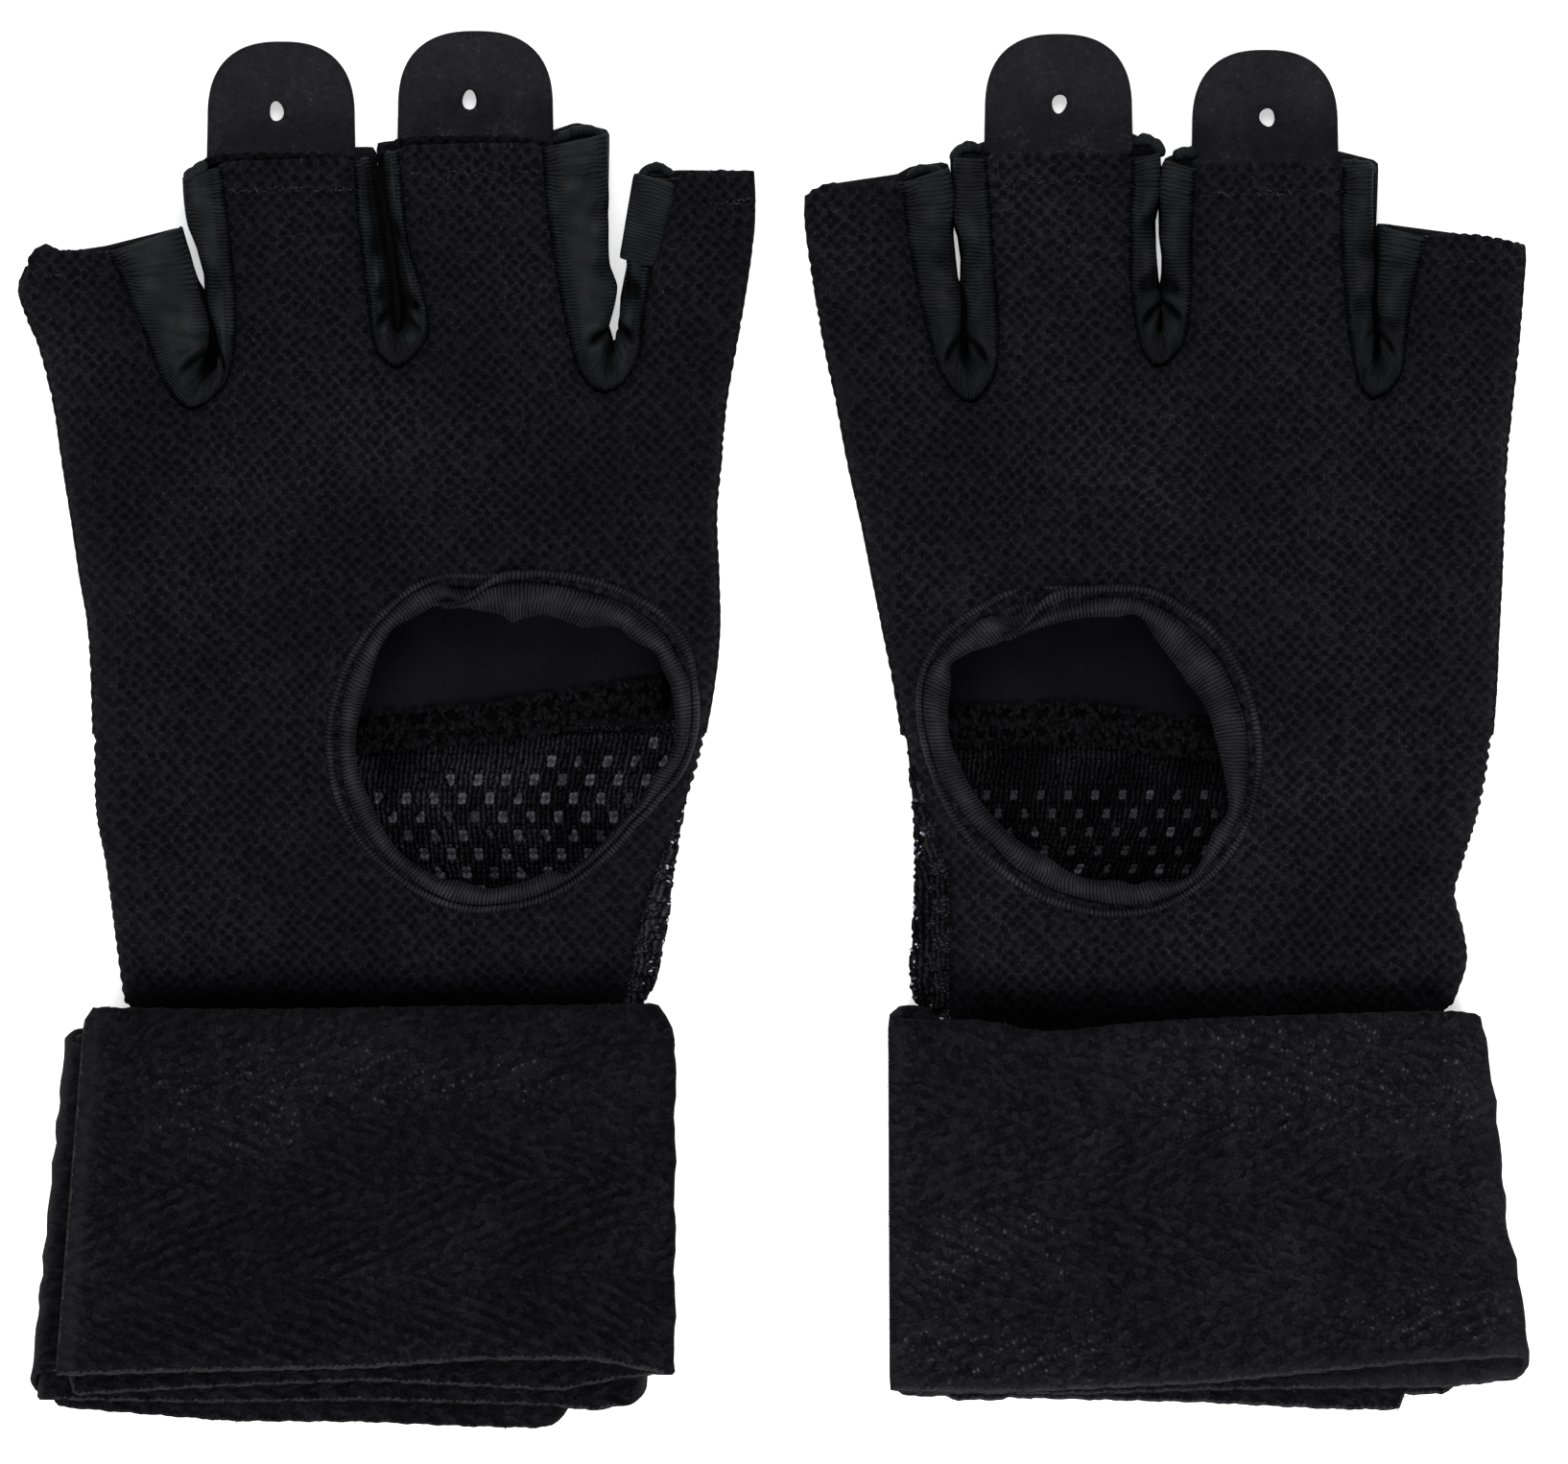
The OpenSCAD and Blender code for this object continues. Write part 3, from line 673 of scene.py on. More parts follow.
# ------------------------------------------------------------------ the two gloves, in millimetres
# Lines run from the wrist to the fingertips, and finger ends from left to right.
RIGHT = dict(
    side="right", little="left",
    left=[(-84, -78), (-84, -42), (-85.5, -36), (-86, -33), (-87, -25.5), (-88, -18), (-89.3, -10.5), (-89.5, 1), (-90, 12.5), (-91.2, 20), (-92.3, 27.5), (-93.5, 35), (-94.7, 43), (-96.6, 50.5), (-98.2, 54.2), (-99.3, 58), (-98.6, 60)],
    right=[(-18.5, -78), (-18.5, -42), (-16.5, -36), (-15, -33), (-13.5, -25.5), (-12.5, -18), (-11.2, -10.5), (-9.5, -3), (-8, 5), (-7.2, 12.5), (-7.3, 20), (-7.6, 28), (-7, 35), (-6.3, 43), (-5, 50.5), (-3.7, 58), (-2.7, 65.5), (-2.5, 72)],
    palm_right=[(-19.5, -78), (-19.5, -40), (-18.9, -33.4), (-17.8, -27.1), (-16.4, -22.5), (-14.6, -17), (-12.2, -11.6), (-10.2, -6), (-9, -1), (-8, 5), (-7.2, 12.5), (-7.3, 20), (-7.6, 28), (-7, 35), (-6.3, 43), (-5, 50.5), (-3.7, 58), (-2.7, 65.5), (-2.5, 72)],
    tips=[
        ("hem", [(-98.4, 60.1), (-97.4, 62.2), (-95.9, 63.2), (-94.2, 62.5), (-91.1, 62.5), (-87.7, 62.8)]),
        ("slit", [(-87.7, 62.8), (-85.4, 58), (-82.8, 51.6), (-80.3, 45.3), (-76.9, 41.9), (-73, 44.1), (-71.5, 46.5), (-70.7, 51.6), (-70.8, 58), (-71.7, 66.8), (-72.4, 71.9), (-72.6, 74.2)], 4),
        ("hem", [(-72.6, 74.2), (-63.9, 74.4), (-55.3, 74.8)]),
        ("slit", [(-55.3, 74.8), (-54.7, 66.8), (-53.7, 58), (-52.7, 50.8), (-51.4, 48.4), (-49.3, 47.4), (-46.6, 49.4), (-45.2, 52.5), (-46.1, 58), (-48, 64.3), (-48.7, 70.6), (-49.2, 76.2)], 5),
        ("hem", [(-49.2, 76.2), (-39.8, 76.5), (-30.4, 76.6)]),
        ("slit", [(-30.4, 76.6), (-29.7, 68.1), (-28.4, 59.2), (-26.9, 51.6), (-25.3, 46.4), (-22.7, 44.2), (-19.8, 45.1), (-17.4, 49.1), (-16.8, 54.2), (-15.8, 60.5), (-14.5, 66.8), (-13, 72.4)], 5),
        ("hem", [(-13, 72.4), (-7.5, 73), (-2.5, 72.8)]),
    ],
    backs=[(-98.5, 60.6), (-92, 62.7), (-88, 63.3), (-78.5, 65.7), (-77.4, 62.5), (-76.2, 59), (-75.2, 57.4), (-74.9, 57), (-74.6, 57.4), (-74.7, 60), (-76.2, 65.5), (-77.2, 73.0), (-74.4, 75.0), (-64, 76.2), (-52.8, 76.4), (-51.2, 62), (-50.2, 53), (-49.9, 51.8), (-49.6, 53), (-50.6, 62), (-51.9, 77), (-40, 78.2), (-28.8, 78.6), (-25.9, 79.6), (-21.9, 78.7), (-22.2, 62), (-22.2, 54), (-21.2, 50.6), (-20.2, 51.2), (-19.8, 53.5), (-19.6, 57), (-18.8, 61), (-17.6, 73.0), (-12, 73.3), (-2.6, 73.2)],
    slit_backs=[
        ([(-77.8, 66.1), (-77.2, 64), (-76.7, 62.4), (-76.1, 60), (-75.7, 58), (-75.2, 56.4), (-74.7, 55), (-74.3, 53), (-74.3, 51), (-74.2, 48.6)], [(-72.9, 48.6), (-73.0, 50.4), (-73.6, 53), (-74.3, 55), (-74.7, 57), (-74.9, 58.6), (-75.0, 60.4), (-75.5, 62), (-76.5, 64.5), (-77.3, 66.5), (-77.7, 69.4), (-77.9, 72.6)]),
        ([(-52.6, 75.4), (-51.9, 71.6), (-51.2, 67), (-50.4, 62.9), (-49.8, 58), (-49.6, 55.8), (-49.5, 53.2)], [(-49.4, 53.2), (-49.4, 55.8), (-49.6, 58), (-50.1, 62.9), (-50.9, 67), (-51.6, 71.6), (-51.9, 76)]),
        ([(-21.7, 78.4), (-21.6, 73), (-21.5, 69.6), (-21.5, 62.4), (-20.8, 59.8), (-20.4, 58.2), (-20.7, 56), (-21.1, 54.4), (-21.5, 52.6), (-21.3, 50.8)], [(-20.9, 50.8), (-20.6, 52.4), (-20.1, 54.6), (-19.7, 56.9), (-19.45, 58.6), (-19.2, 60.6), (-19.4, 65), (-18.9, 69.4), (-17.8, 72.6)]),
    ],
    fourchettes=["right_little_ring_fourchette", "right_ring_middle_fourchette", "right_middle_index_fourchette"],
    hole=((-34.2, -2), (22, 20)),
    bind_out=[(-44.5, 20.1), (-41.5, 20.5), (-38.5, 20.2), (-36, 20.4), (-31.8, 20.7), (-27.6, 20.5), (-23.4, 19.6), (-19.1, 18.2), (-14.9, 15.7), (-11.8, 12.6), (-10.4, 9.2), (-9.8, 5.4), (-9.6, 1.2), (-10.2, -2.6), (-11.6, -5.9), (-14.5, -9.5), (-17.9, -13.1), (-21.2, -16.9), (-24.2, -19.5), (-27.6, -21.8), (-31.8, -23.5), (-36, -24.2), (-39, -24.4), (-41.5, -24.1), (-45.7, -22.6), (-49.5, -20.1), (-52.9, -17.1), (-55.4, -14.2), (-57.4, -10), (-58.5, -5.9), (-58.8, -1.3), (-58.2, 3.3), (-56.6, 8), (-54.2, 12.1), (-50.8, 16), (-47.8, 18.6)],
    bind_band=[(-41.1, 17.5), (-37.7, 18.2), (-34.3, 18.8), (-29.3, 18.8), (-25, 17.8), (-21.2, 16.5), (-18.3, 14.9), (-15.8, 13.1), (-13.6, 11), (-12.2, 8.6), (-10.9, 6.3), (-10.4, 2.1), (-10.8, -2.2), (-11.5, -5.2), (-13.2, -8.3), (-16, -11.6), (-19.3, -15), (-22.7, -18), (-25.7, -20.3), (-29.5, -22.2), (-32.6, -23.2), (-36, -23.5), (-39.4, -23.4), (-42.8, -22.7), (-45.7, -21.3), (-48.7, -19.2), (-51.4, -16.7), (-53.8, -13.5), (-55.5, -10.2), (-56.6, -6.4), (-57, -3), (-56.9, 1.2), (-56.2, 5), (-54.7, 8.8), (-52.6, 12.4), (-50.1, 15.6), (-47.2, 18.2), (-44.5, 19.6)],
    bind_in=[(-44.5, 16.1), (-47, 14.6), (-50.1, 13), (-51.8, 10.1), (-52.9, 6.7), (-53.7, 3.8), (-54.6, 0.8), (-55, -2.6), (-54.4, -6.4), (-53.1, -9.3), (-51.8, -12.3), (-50.4, -14.8), (-48.2, -17.3), (-45.3, -19), (-43.6, -20.3), (-41.5, -20), (-37.7, -21.3), (-36, -21.1), (-32.6, -20.3), (-29.3, -18.8), (-26.3, -19.5), (-25, -17.8), (-23.4, -16.5), (-21.2, -14.4), (-19.1, -11.9), (-17, -9.7), (-15.8, -6.4), (-13.6, -4.3), (-12.8, -1.7), (-12.8, 1.2), (-13.2, 5), (-14.5, 7.6), (-15.3, 10.1), (-17.4, 10.9), (-19.1, 12), (-20.2, 13.4), (-25, 13), (-28, 14.3), (-30.5, 14.9), (-33.5, 14.1), (-34.5, 13.5), (-35.2, 14.7), (-38.5, 15.4), (-41.5, 15.8)],
    overlap=2.02, taper=0.42,
    sewn=[(-97, -89, 0.15), (-72, -55.8, 1.0), (-48.8, -31, 0.85), (-8.6, -3.4, 0.8)],
    meet=[1.0, 0.66, 1.0],
    # dents in the ribbons, pressed in and darkened with painted shade: which leg, height, half length, depth, where
    # across it they start
    dents=[
        [(-1, 45.8, 0.8, 1.5, 0.25), (1, 66.0, 2.4, 0.5, 0.3), (1, 58.5, 2.0, 0.7, 0.2), (1, 45.8, 0.8, 1.4, 0.2)],
        [(-1, 69.0, 4.0, 1.0, 0.4), (-1, 63.2, 1.0, 1.4, 0.3), (-1, 57.0, 1.0, 1.3, 0.35), (1, 65.0, 1.6, 1.2, 0.3), (1, 55.6, 1.2, 1.6, 0.2), (-1, 52.8, 0.8, 1.6, 0.2), (1, 51.6, 0.7, 1.0, 0.2)],
        [(-1, 68.0, 1.2, 0.8, 0.5), (-1, 60.4, 1.2, 0.8, 0.45), (-1, 73.0, 1.2, 0.4, 0.1), (-1, 49.4, 1.0, 1.5, 0.3), (1, 57.6, 1.4, 1.5, 0.1), (1, 50.6, 1.0, 1.7, 0.2)],
    ],
    # rolled hems of the back at the finger ends: line, radius, height, which cloth
    rolls=[
        ([(-98.2, 60.2), (-96.8, 62.2), (-94, 62.5), (-90, 62.7), (-84, 63.7), (-79, 64.9)], 0.65, 4.0, 2),
        ([(-98, 60.6), (-96.7, 62.4), (-94.6, 62.3)], 0.75, 7.0, 2),
        ([(-77.5, 72.5), (-76.3, 73.5), (-74.6, 74.5)], 0.8, 7.4, 3),
        ([(-76.0, 73.4), (-74.4, 74.8), (-70, 75.2), (-60, 75.2), (-55.4, 75), (-53.4, 74.6)], 0.85, 3.0, 2),
        ([(-52.4, 75), (-51.2, 76.2), (-49.4, 77), (-45, 77.4), (-35, 77.4), (-29.5, 77)], 0.9, 3.0, 2),
        ([(-28.9, 77.4), (-26, 78.7), (-23.6, 78.8), (-22.3, 77.8)], 0.85, 4.0, 3),
        ([(-28.4, 76.2), (-25, 76.9), (-22.2, 77)], 0.6, 6.0, 3),
        ([(-17.2, 72.2), (-16.4, 73.7), (-14.6, 73.9), (-13.2, 72.7)], 0.8, 5.0, 3),
        ([(-13, 72.8), (-10, 73.1), (-7.6, 72.6)], 0.6, 4.0, 2),
        ([(-7.4, 72.6), (-5, 72.9), (-3, 72.3)], 0.75, 5.0, 2),
    ],
    net=dict(base=-79.2, size=1.0, bright=0.8, first=[(-52, -8.8), (-44, -6.3), (-34, -5.8), (-31, -3.8), (-20, -3.4), (-15, -1)], seam=[(-85, 0.4), (-54, 1.7), (-37.7, 2.9), (-25, 5), (-15.3, 6.2)]),
    creases=[((-74, -24), (-48, 2), 0.55, 4.0), ((-70, 34), (-30, 42), 0.3, 5.0), ((-30, -26), (-18, -34), 0.5, 3.0)],
)
LEFT = dict(
    side="left", little="right",
    left=[(21.5, -78), (21.5, -42), (18.6, -36), (18, -33), (18.4, -25), (18.6, -18), (18.4, -12), (17.9, -6), (17.5, -2), (16.5, 5), (15, 12.5), (13.5, 20), (12, 27.5), (10.3, 35), (8.8, 43), (7.2, 50.5), (5.9, 58), (5, 64), (4.5, 69)],
    right=[(88, -78), (88, -42), (90.2, -36), (91.8, -31), (91.3, -26.5), (90.2, -22), (91.2, -18), (93.3, -11), (94.6, -4), (95.4, 4), (95.8, 12.5), (96.2, 20), (96.5, 28), (96.8, 35), (97.6, 43), (98.4, 50.5), (99, 58), (99.4, 63)],
    palm_left=[(23.6, -78), (23.4, -38), (23.4, -21), (22.6, -17.6), (21.2, -12.7), (19.9, -8), (18.2, -3.4), (16.5, 5), (15, 12.5), (13.5, 20), (12, 27.5), (10.3, 35), (8.8, 43), (7.2, 50.5), (5.9, 58), (5, 64), (4.5, 69)],
    tips=[
        ("hem", [(4.5, 69.4), (6, 70.6), (7.8, 71.3), (12.1, 71.4), (16.9, 71.9)]),
        ("slit", [(16.9, 71.9), (17.8, 65.6), (19.1, 58), (20.9, 50.4), (22.8, 45.6), (26, 42.8), (28.5, 44.6), (29.8, 47.8), (30, 54.2), (29.4, 61.8), (28.8, 70.6), (28.4, 75.2)], 5),
        ("hem", [(28.4, 75.2), (38, 75.4), (47.5, 75.2)]),
        ("slit", [(47.5, 75.2), (47.2, 65.6), (47.3, 58), (48.2, 51.6), (49.3, 48.8), (51.1, 47.5), (53.2, 48.9), (54.8, 51.6), (55.5, 58), (55.6, 65.6), (56, 73.7)], 5),
        ("hem", [(56, 73.7), (65.3, 74.1), (75.3, 74.2)]),
        ("slit", [(75.3, 74.2), (75.1, 64.3), (75.8, 54.2), (76.9, 47.2), (77.8, 44.6), (79.4, 43.2), (82, 44.8), (83.4, 47.4), (84.2, 54.2), (85.5, 60.5), (86.5, 64.8)], 5),
        ("hem", [(86.5, 64.8), (93.1, 64.5), (99.4, 63.3)]),
    ],
    backs=[(4.6, 70.0), (8, 71.5), (16.7, 72.8), (18.5, 73.8), (22.9, 74.4), (23.95, 70.5), (23.65, 67), (23.6, 65), (23.9, 62), (24.2, 59.4), (24.7, 58.0), (25.1, 58.0), (25.3, 59.4), (25.35, 62), (24.95, 65), (24.25, 67), (24.15, 70.5), (24, 75.6), (28.5, 77.2), (38, 77.6), (47.5, 78.2), (50.9, 76.6), (51.2, 72), (50.95, 70), (50.3, 67), (50.4, 63), (50.7, 59.5), (51.1, 57.2), (51.3, 56.8), (51.5, 57.2), (51.9, 60), (51.95, 62.4), (51.6, 65), (51.5, 70), (51.45, 73), (52.3, 75), (56, 76.5), (66, 76.4), (75, 75.8), (79.8, 74.6), (79.2, 58), (79.4, 49), (79.8, 47.4), (80.2, 49), (80, 56), (80.2, 66.3), (90, 65.0), (99.3, 63.5)],
    slit_backs=[
        ([(23.5, 73.8), (24.1, 70.4), (23.98, 67.8), (23.68, 66.6), (23.72, 65.1), (24.05, 62.2), (24.3, 59.6), (24.75, 58.2), (24.95, 56.5), (24.9, 53.2), (24.9, 50.4)], [(25.6, 50.4), (25.85, 54.7), (25.6, 56.9), (25.2, 58.2), (25.12, 59.6), (25.22, 62.2), (24.8, 65.1), (24.2, 66.6), (24.0, 67.8), (24.05, 70.4), (24.0, 75.2)]),
        ([(51.3, 75.8), (51.35, 72), (51.2, 70.4), (50.95, 69.6), (50.4, 67), (50.52, 64.4), (50.82, 62.2), (50.75, 59.9), (51.08, 57.7), (51.38, 56.6), (51.35, 54.4)], [(51.25, 54.4), (51.25, 56.6), (51.5, 57.6), (51.78, 59.9), (51.82, 62.2), (51.42, 64.4), (51.46, 67), (51.3, 69.6), (51.15, 70.4), (51.3, 72.5), (51.8, 75)]),
        ([(79.6, 74.4), (79.5, 68), (79.7, 62.5), (79.6, 59), (79.4, 55), (79.8, 50.6)], [(80.1, 50.6), (79.9, 55), (79.85, 59), (80, 62.5), (80.1, 66.2)]),
    ],
    fourchettes=["left_index_middle_fourchette", "left_middle_ring_fourchette", "left_ring_little_fourchette"],
    hole=((41.8, -2.8), (19.8, 19.2)),
    bind_out=[(31.5, 18.3), (34.5, 18.8), (38.2, 18.7), (41.6, 18.5), (45, 18.8), (48.4, 18.7), (51.8, 17.7), (54.7, 15.9), (57.7, 13.6), (60.4, 10.5), (62.1, 7.5), (63.4, 4.1), (64.3, 0.6), (64.7, -3.6), (64.3, -7.8), (63.6, -11), (62.1, -14.8), (59.6, -18.3), (57, -20.8), (53.9, -23), (50.5, -24.4), (46.7, -24.9), (43.3, -24.9), (39.9, -24.2), (36.6, -23.2), (33.1, -21.4), (30.1, -19.3), (27.1, -16.5), (24.5, -13.2), (22.4, -9.7), (20.7, -5.4), (19.7, -1.9), (19, 2.3), (19.2, 5.7), (19.9, 8.6), (21.4, 11.4), (24.3, 14.1), (27.7, 16.4)],
    bind_band=[(32.3, 12.6), (35.7, 14.7), (38.2, 15.8), (41.6, 16.6), (45, 17.1), (48.4, 17), (50.5, 16.1), (52.6, 14.5), (55.1, 12.4), (57.2, 10.3), (59.3, 7.8), (60.6, 4.8), (61.5, 2.3), (62.4, -1.1), (62.8, -4.5), (62.6, -8.3), (61.9, -11.2), (60.3, -14.3), (58.2, -17.6), (56.1, -20.5), (52.6, -22.3), (49.2, -23.3), (45.8, -23.4), (42.5, -22.8), (39.1, -21.8), (35.7, -20.3), (32.7, -18.4), (30, -16), (27, -13.5), (24.4, -10), (22.3, -6.7), (20.8, -3.7), (20.1, -0.3), (19.8, 2.7), (20, 5.7), (20.9, 8), (23.1, 10.3), (25.6, 12.8), (28.5, 14.9)],
    bind_in=[(31.5, 11.9), (34.5, 12.8), (38.2, 13.9), (41.6, 14.5), (45.8, 14.5), (47.7, 15.1), (49.2, 14.1), (50.5, 11.6), (52.6, 9), (54.7, 5.9), (56.4, 4), (57.7, 1.4), (58.5, -1.5), (59.3, -4.5), (59.8, -7), (60.3, -9.5), (60.2, -11.2), (58.1, -13.8), (57.2, -16.3), (55.8, -19), (54.5, -20), (51.8, -20.5), (49.6, -20.1), (48, -20.9), (45.8, -20.1), (42, -20.1), (39.1, -19), (36.6, -17.1), (33.2, -15.4), (30.7, -13.3), (28.1, -10.4), (26, -7.4), (24.7, -4.5), (23.7, -2.4), (23.3, 0.2), (23.3, 3.1), (23.7, 5.7), (23.5, 8.4), (26.4, 10), (29.4, 10.8)],
    overlap=2.19, taper=0.58,
    sewn=[(5.5, 16, 0.12), (29, 47, 0.45), (56.5, 75, 1.0), (87, 93, 0.5)],
    meet=[1.0, 1.0, 0.97],
    dents=[
        [(-1, 61.6, 1.2, 0.9, 0.4), (-1, 57.2, 1.0, 0.7, 0.6), (1, 62.6, 1.5, 0.8, 0.1), (1, 58.0, 1.2, 0.7, 0.3), (-1, 47.2, 1.1, 1.8, 0.15), (1, 47.4, 1.1, 1.8, 0.15)],
        [(-1, 66.3, 1.1, 1.2, 0.3), (-1, 58.4, 1.2, 1.5, 0.15), (1, 57.8, 1.2, 1.4, 0.2), (-1, 52.6, 0.9, 1.9, 0.15), (1, 53.4, 0.9, 1.9, 0.15)],
        [(-1, 62.6, 1.3, 1.0, 0.4), (-1, 55.6, 1.1, 0.8, 0.2), (-1, 49.6, 0.9, 0.8, 0.4), (1, 61.0, 3.0, 0.5, 0.6), (1, 52.6, 1.2, 0.9, 0.1), (1, 48.4, 1.0, 1.7, 0.2)],
    ],
    rolls=[
        ([(5, 70.2), (6.6, 70.8), (8.2, 71), (9.6, 70.4)], 0.8, 5.0, 2),
        ([(9.4, 70.7), (14, 71.6), (18.3, 72.4)], 0.6, 4.0, 2),
        ([(18, 72.6), (19.6, 73.7), (21.6, 73.6), (22.8, 73)], 0.75, 5.0, 3),
        ([(24.1, 74.6), (24.7, 76.1), (26.2, 76.7), (27.8, 76.2)], 0.9, 5.0, 3),
        ([(47.8, 77.1), (49.4, 77.7), (50.9, 76.8), (51.5, 75.4)], 0.9, 5.0, 3),
        ([(53.2, 75), (54.4, 76), (56.4, 75.7)], 0.9, 5.0, 3),
        ([(75.2, 74.4), (77.2, 74.3), (79, 74), (79.4, 73.2)], 0.8, 5.0, 3),
        ([(80.6, 65.5), (81.6, 65.9), (82.8, 65.6)], 0.6, 5.0, 2),
        ([(83.6, 65.2), (87, 65), (91, 64.4), (95, 63.8), (98.8, 63.1)], 0.65, 4.0, 2),
    ],
    net=dict(base=-78.725, size=0.84, bright=0.06, first=[(20, -7.7), (60, -8.1)], seam=[(20, 2.6), (24.3, 2.7), (41.6, 2.9), (51.3, 1.4), (57, 0.8), (95, 0)]),
    creases=[((56, 10), (82, -10), 0.45, 4.5), ((60, -14), (86, -24), 0.5, 3.5), ((20, 30), (50, 38), 0.3, 5.0)],
)


def prepare(g):
    g["L"], g["R"] = spline(g["left"], 0.5), spline(g["right"], 0.5)
    g["PL"] = spline(g.get("palm_left", g["left"]), 0.5)
    g["PR"] = spline(g.get("palm_right", g["right"]), 0.5)
    g["hems"] = [even(spline(p, 0.4), 0.4) for kind, p, *_ in g["tips"] if kind == "hem"]
    g["slits"] = [spline(p, 0.4) for kind, p, *_ in g["tips"] if kind == "slit"]
    # the bound thumb hole: piping, band and inner edge as distances from its middle
    c = np.array(g["hole"][0], float)
    w, out = polar(g["bind_out"], c)
    band, inner = polar(g["bind_band"], c)[1], polar(g["bind_in"], c, soft=3)[1]
    band = np.minimum(band, out - 1.0)
    inner = np.minimum(inner, band - 0.9)
    g["ring"] = (c, w, out, band, inner)
    r = out - 1.5
    g["hole_line"] = even(np.c_[c[0] + r * np.cos(w), c[1] + r * np.sin(w)], n=181, closed=True)


def palm_z(g, p):
    """Height of the palm cloth's outer face."""
    p = np.asarray(p, float)
    y = p[:, 1]
    side = np.minimum(gap(p, g["PL"]), gap(p, g["PR"]))
    # the small bumps outside the cut line lie as low as the line itself
    xl, xr = np.interp(y, g["PL"][:, 1], g["PL"][:, 0]), np.interp(y, g["PR"][:, 1], g["PR"][:, 0])
    side = np.where((p[:, 0] < xl) | (p[:, 0] > xr), 0.0, side)
    slit = np.min([np.where(inside(s, p), 0.0, gap(p, s)) for s in g["slits"]], axis=0)
    hem = np.min([gap(p, h) for h in g["hems"]], axis=0)
    top = 12.0 - 2.5 * smooth(44, 76, y) - 0.5 * smooth(-20, -40, y)
    # drawn in where the wound tape holds it
    top = top - 4.4 * np.exp(-((y + 40.5) / 5.0) ** 2)
    e = np.clip(side / 8.0, 0, 1)
    f = np.sqrt(np.clip(1 - (1 - e) ** 2, 0, 1))
    low = 6.3 + 0.6 * smooth(40, 70, y)
    z = low + (top - low) * f
    s = np.clip(slit / 3.6, 0, 1)
    z = z - 2.3 * (1 - np.sqrt(np.clip(1 - (1 - s) ** 2, 0, 1)))
    body = smooth(0.5, 8, side) * smooth(0.3, 4, slit)
    z = z + body * (0.32 * waves(p, 42, 5) + 0.13 * waves(p, 15, 9))
    for a, b, h, w in g["creases"]:
        d = gap(p, np.array([a, b], float))
        z = z + body * h * (np.exp(-(d / w) ** 2) - 0.6 * np.exp(-((d - 1.7 * w) / w) ** 2))
    hc, hr = g["hole"]
    q = np.sqrt(((p[:, 0] - hc[0]) / hr[0]) ** 2 + ((p[:, 1] - hc[1]) / hr[1]) ** 2)
    d = np.abs(q - 1) * min(hr)
    z = z + 0.35 * np.exp(-(d / 3.5) ** 2) * smooth(0, 5, side)
    # the doubled hem at each fingertip, with the line of sewing that holds it
    z = z + 0.42 * (1 - smooth(2.7, 3.4, hem)) - 0.36 * np.exp(-((hem - 3.4) / 0.5) ** 2)
    z = z + 0.16 * np.sin(p[:, 0] * 2 * np.pi / 3.1 + 1.3 * np.sin(p[:, 0] / 4)) * np.exp(-((hem - 2.4) / 1.8) ** 2)
    return z


def ellipse(c, r, n, power=2.15, start=0.0):
    w = np.linspace(0, 2 * np.pi, n, endpoint=False) + start
    k = 2.0 / power
    return np.c_[c[0] + r[0] * np.sign(np.cos(w)) * np.abs(np.cos(w)) ** k, c[1] + r[1] * np.sign(np.sin(w)) * np.abs(np.sin(w)) ** k]


def finish_piece(o, body, slot, *nodes):
    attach(o, body)
    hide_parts(*nodes)
    return o


def area_of(V, F):
    return float(sum(np.linalg.norm(np.cross(V[F[:, k]] - V[F[:, 0]], V[F[:, k + 1]] - V[F[:, 0]]), axis=1).sum() / 2 for k in range(1, F.shape[1] - 1)))


def as_sheet(V, F, extra=0.0):
    """Works out the size of the piece a panel was cut from; the result is not used."""
    a = area_of(V, F) * 1e-6
    d = V[:, :2].max(0) - V[:, :2].min(0)
    w, l = (d[0] + extra) * MM, d[1] * MM
    w = max(w, a / l)


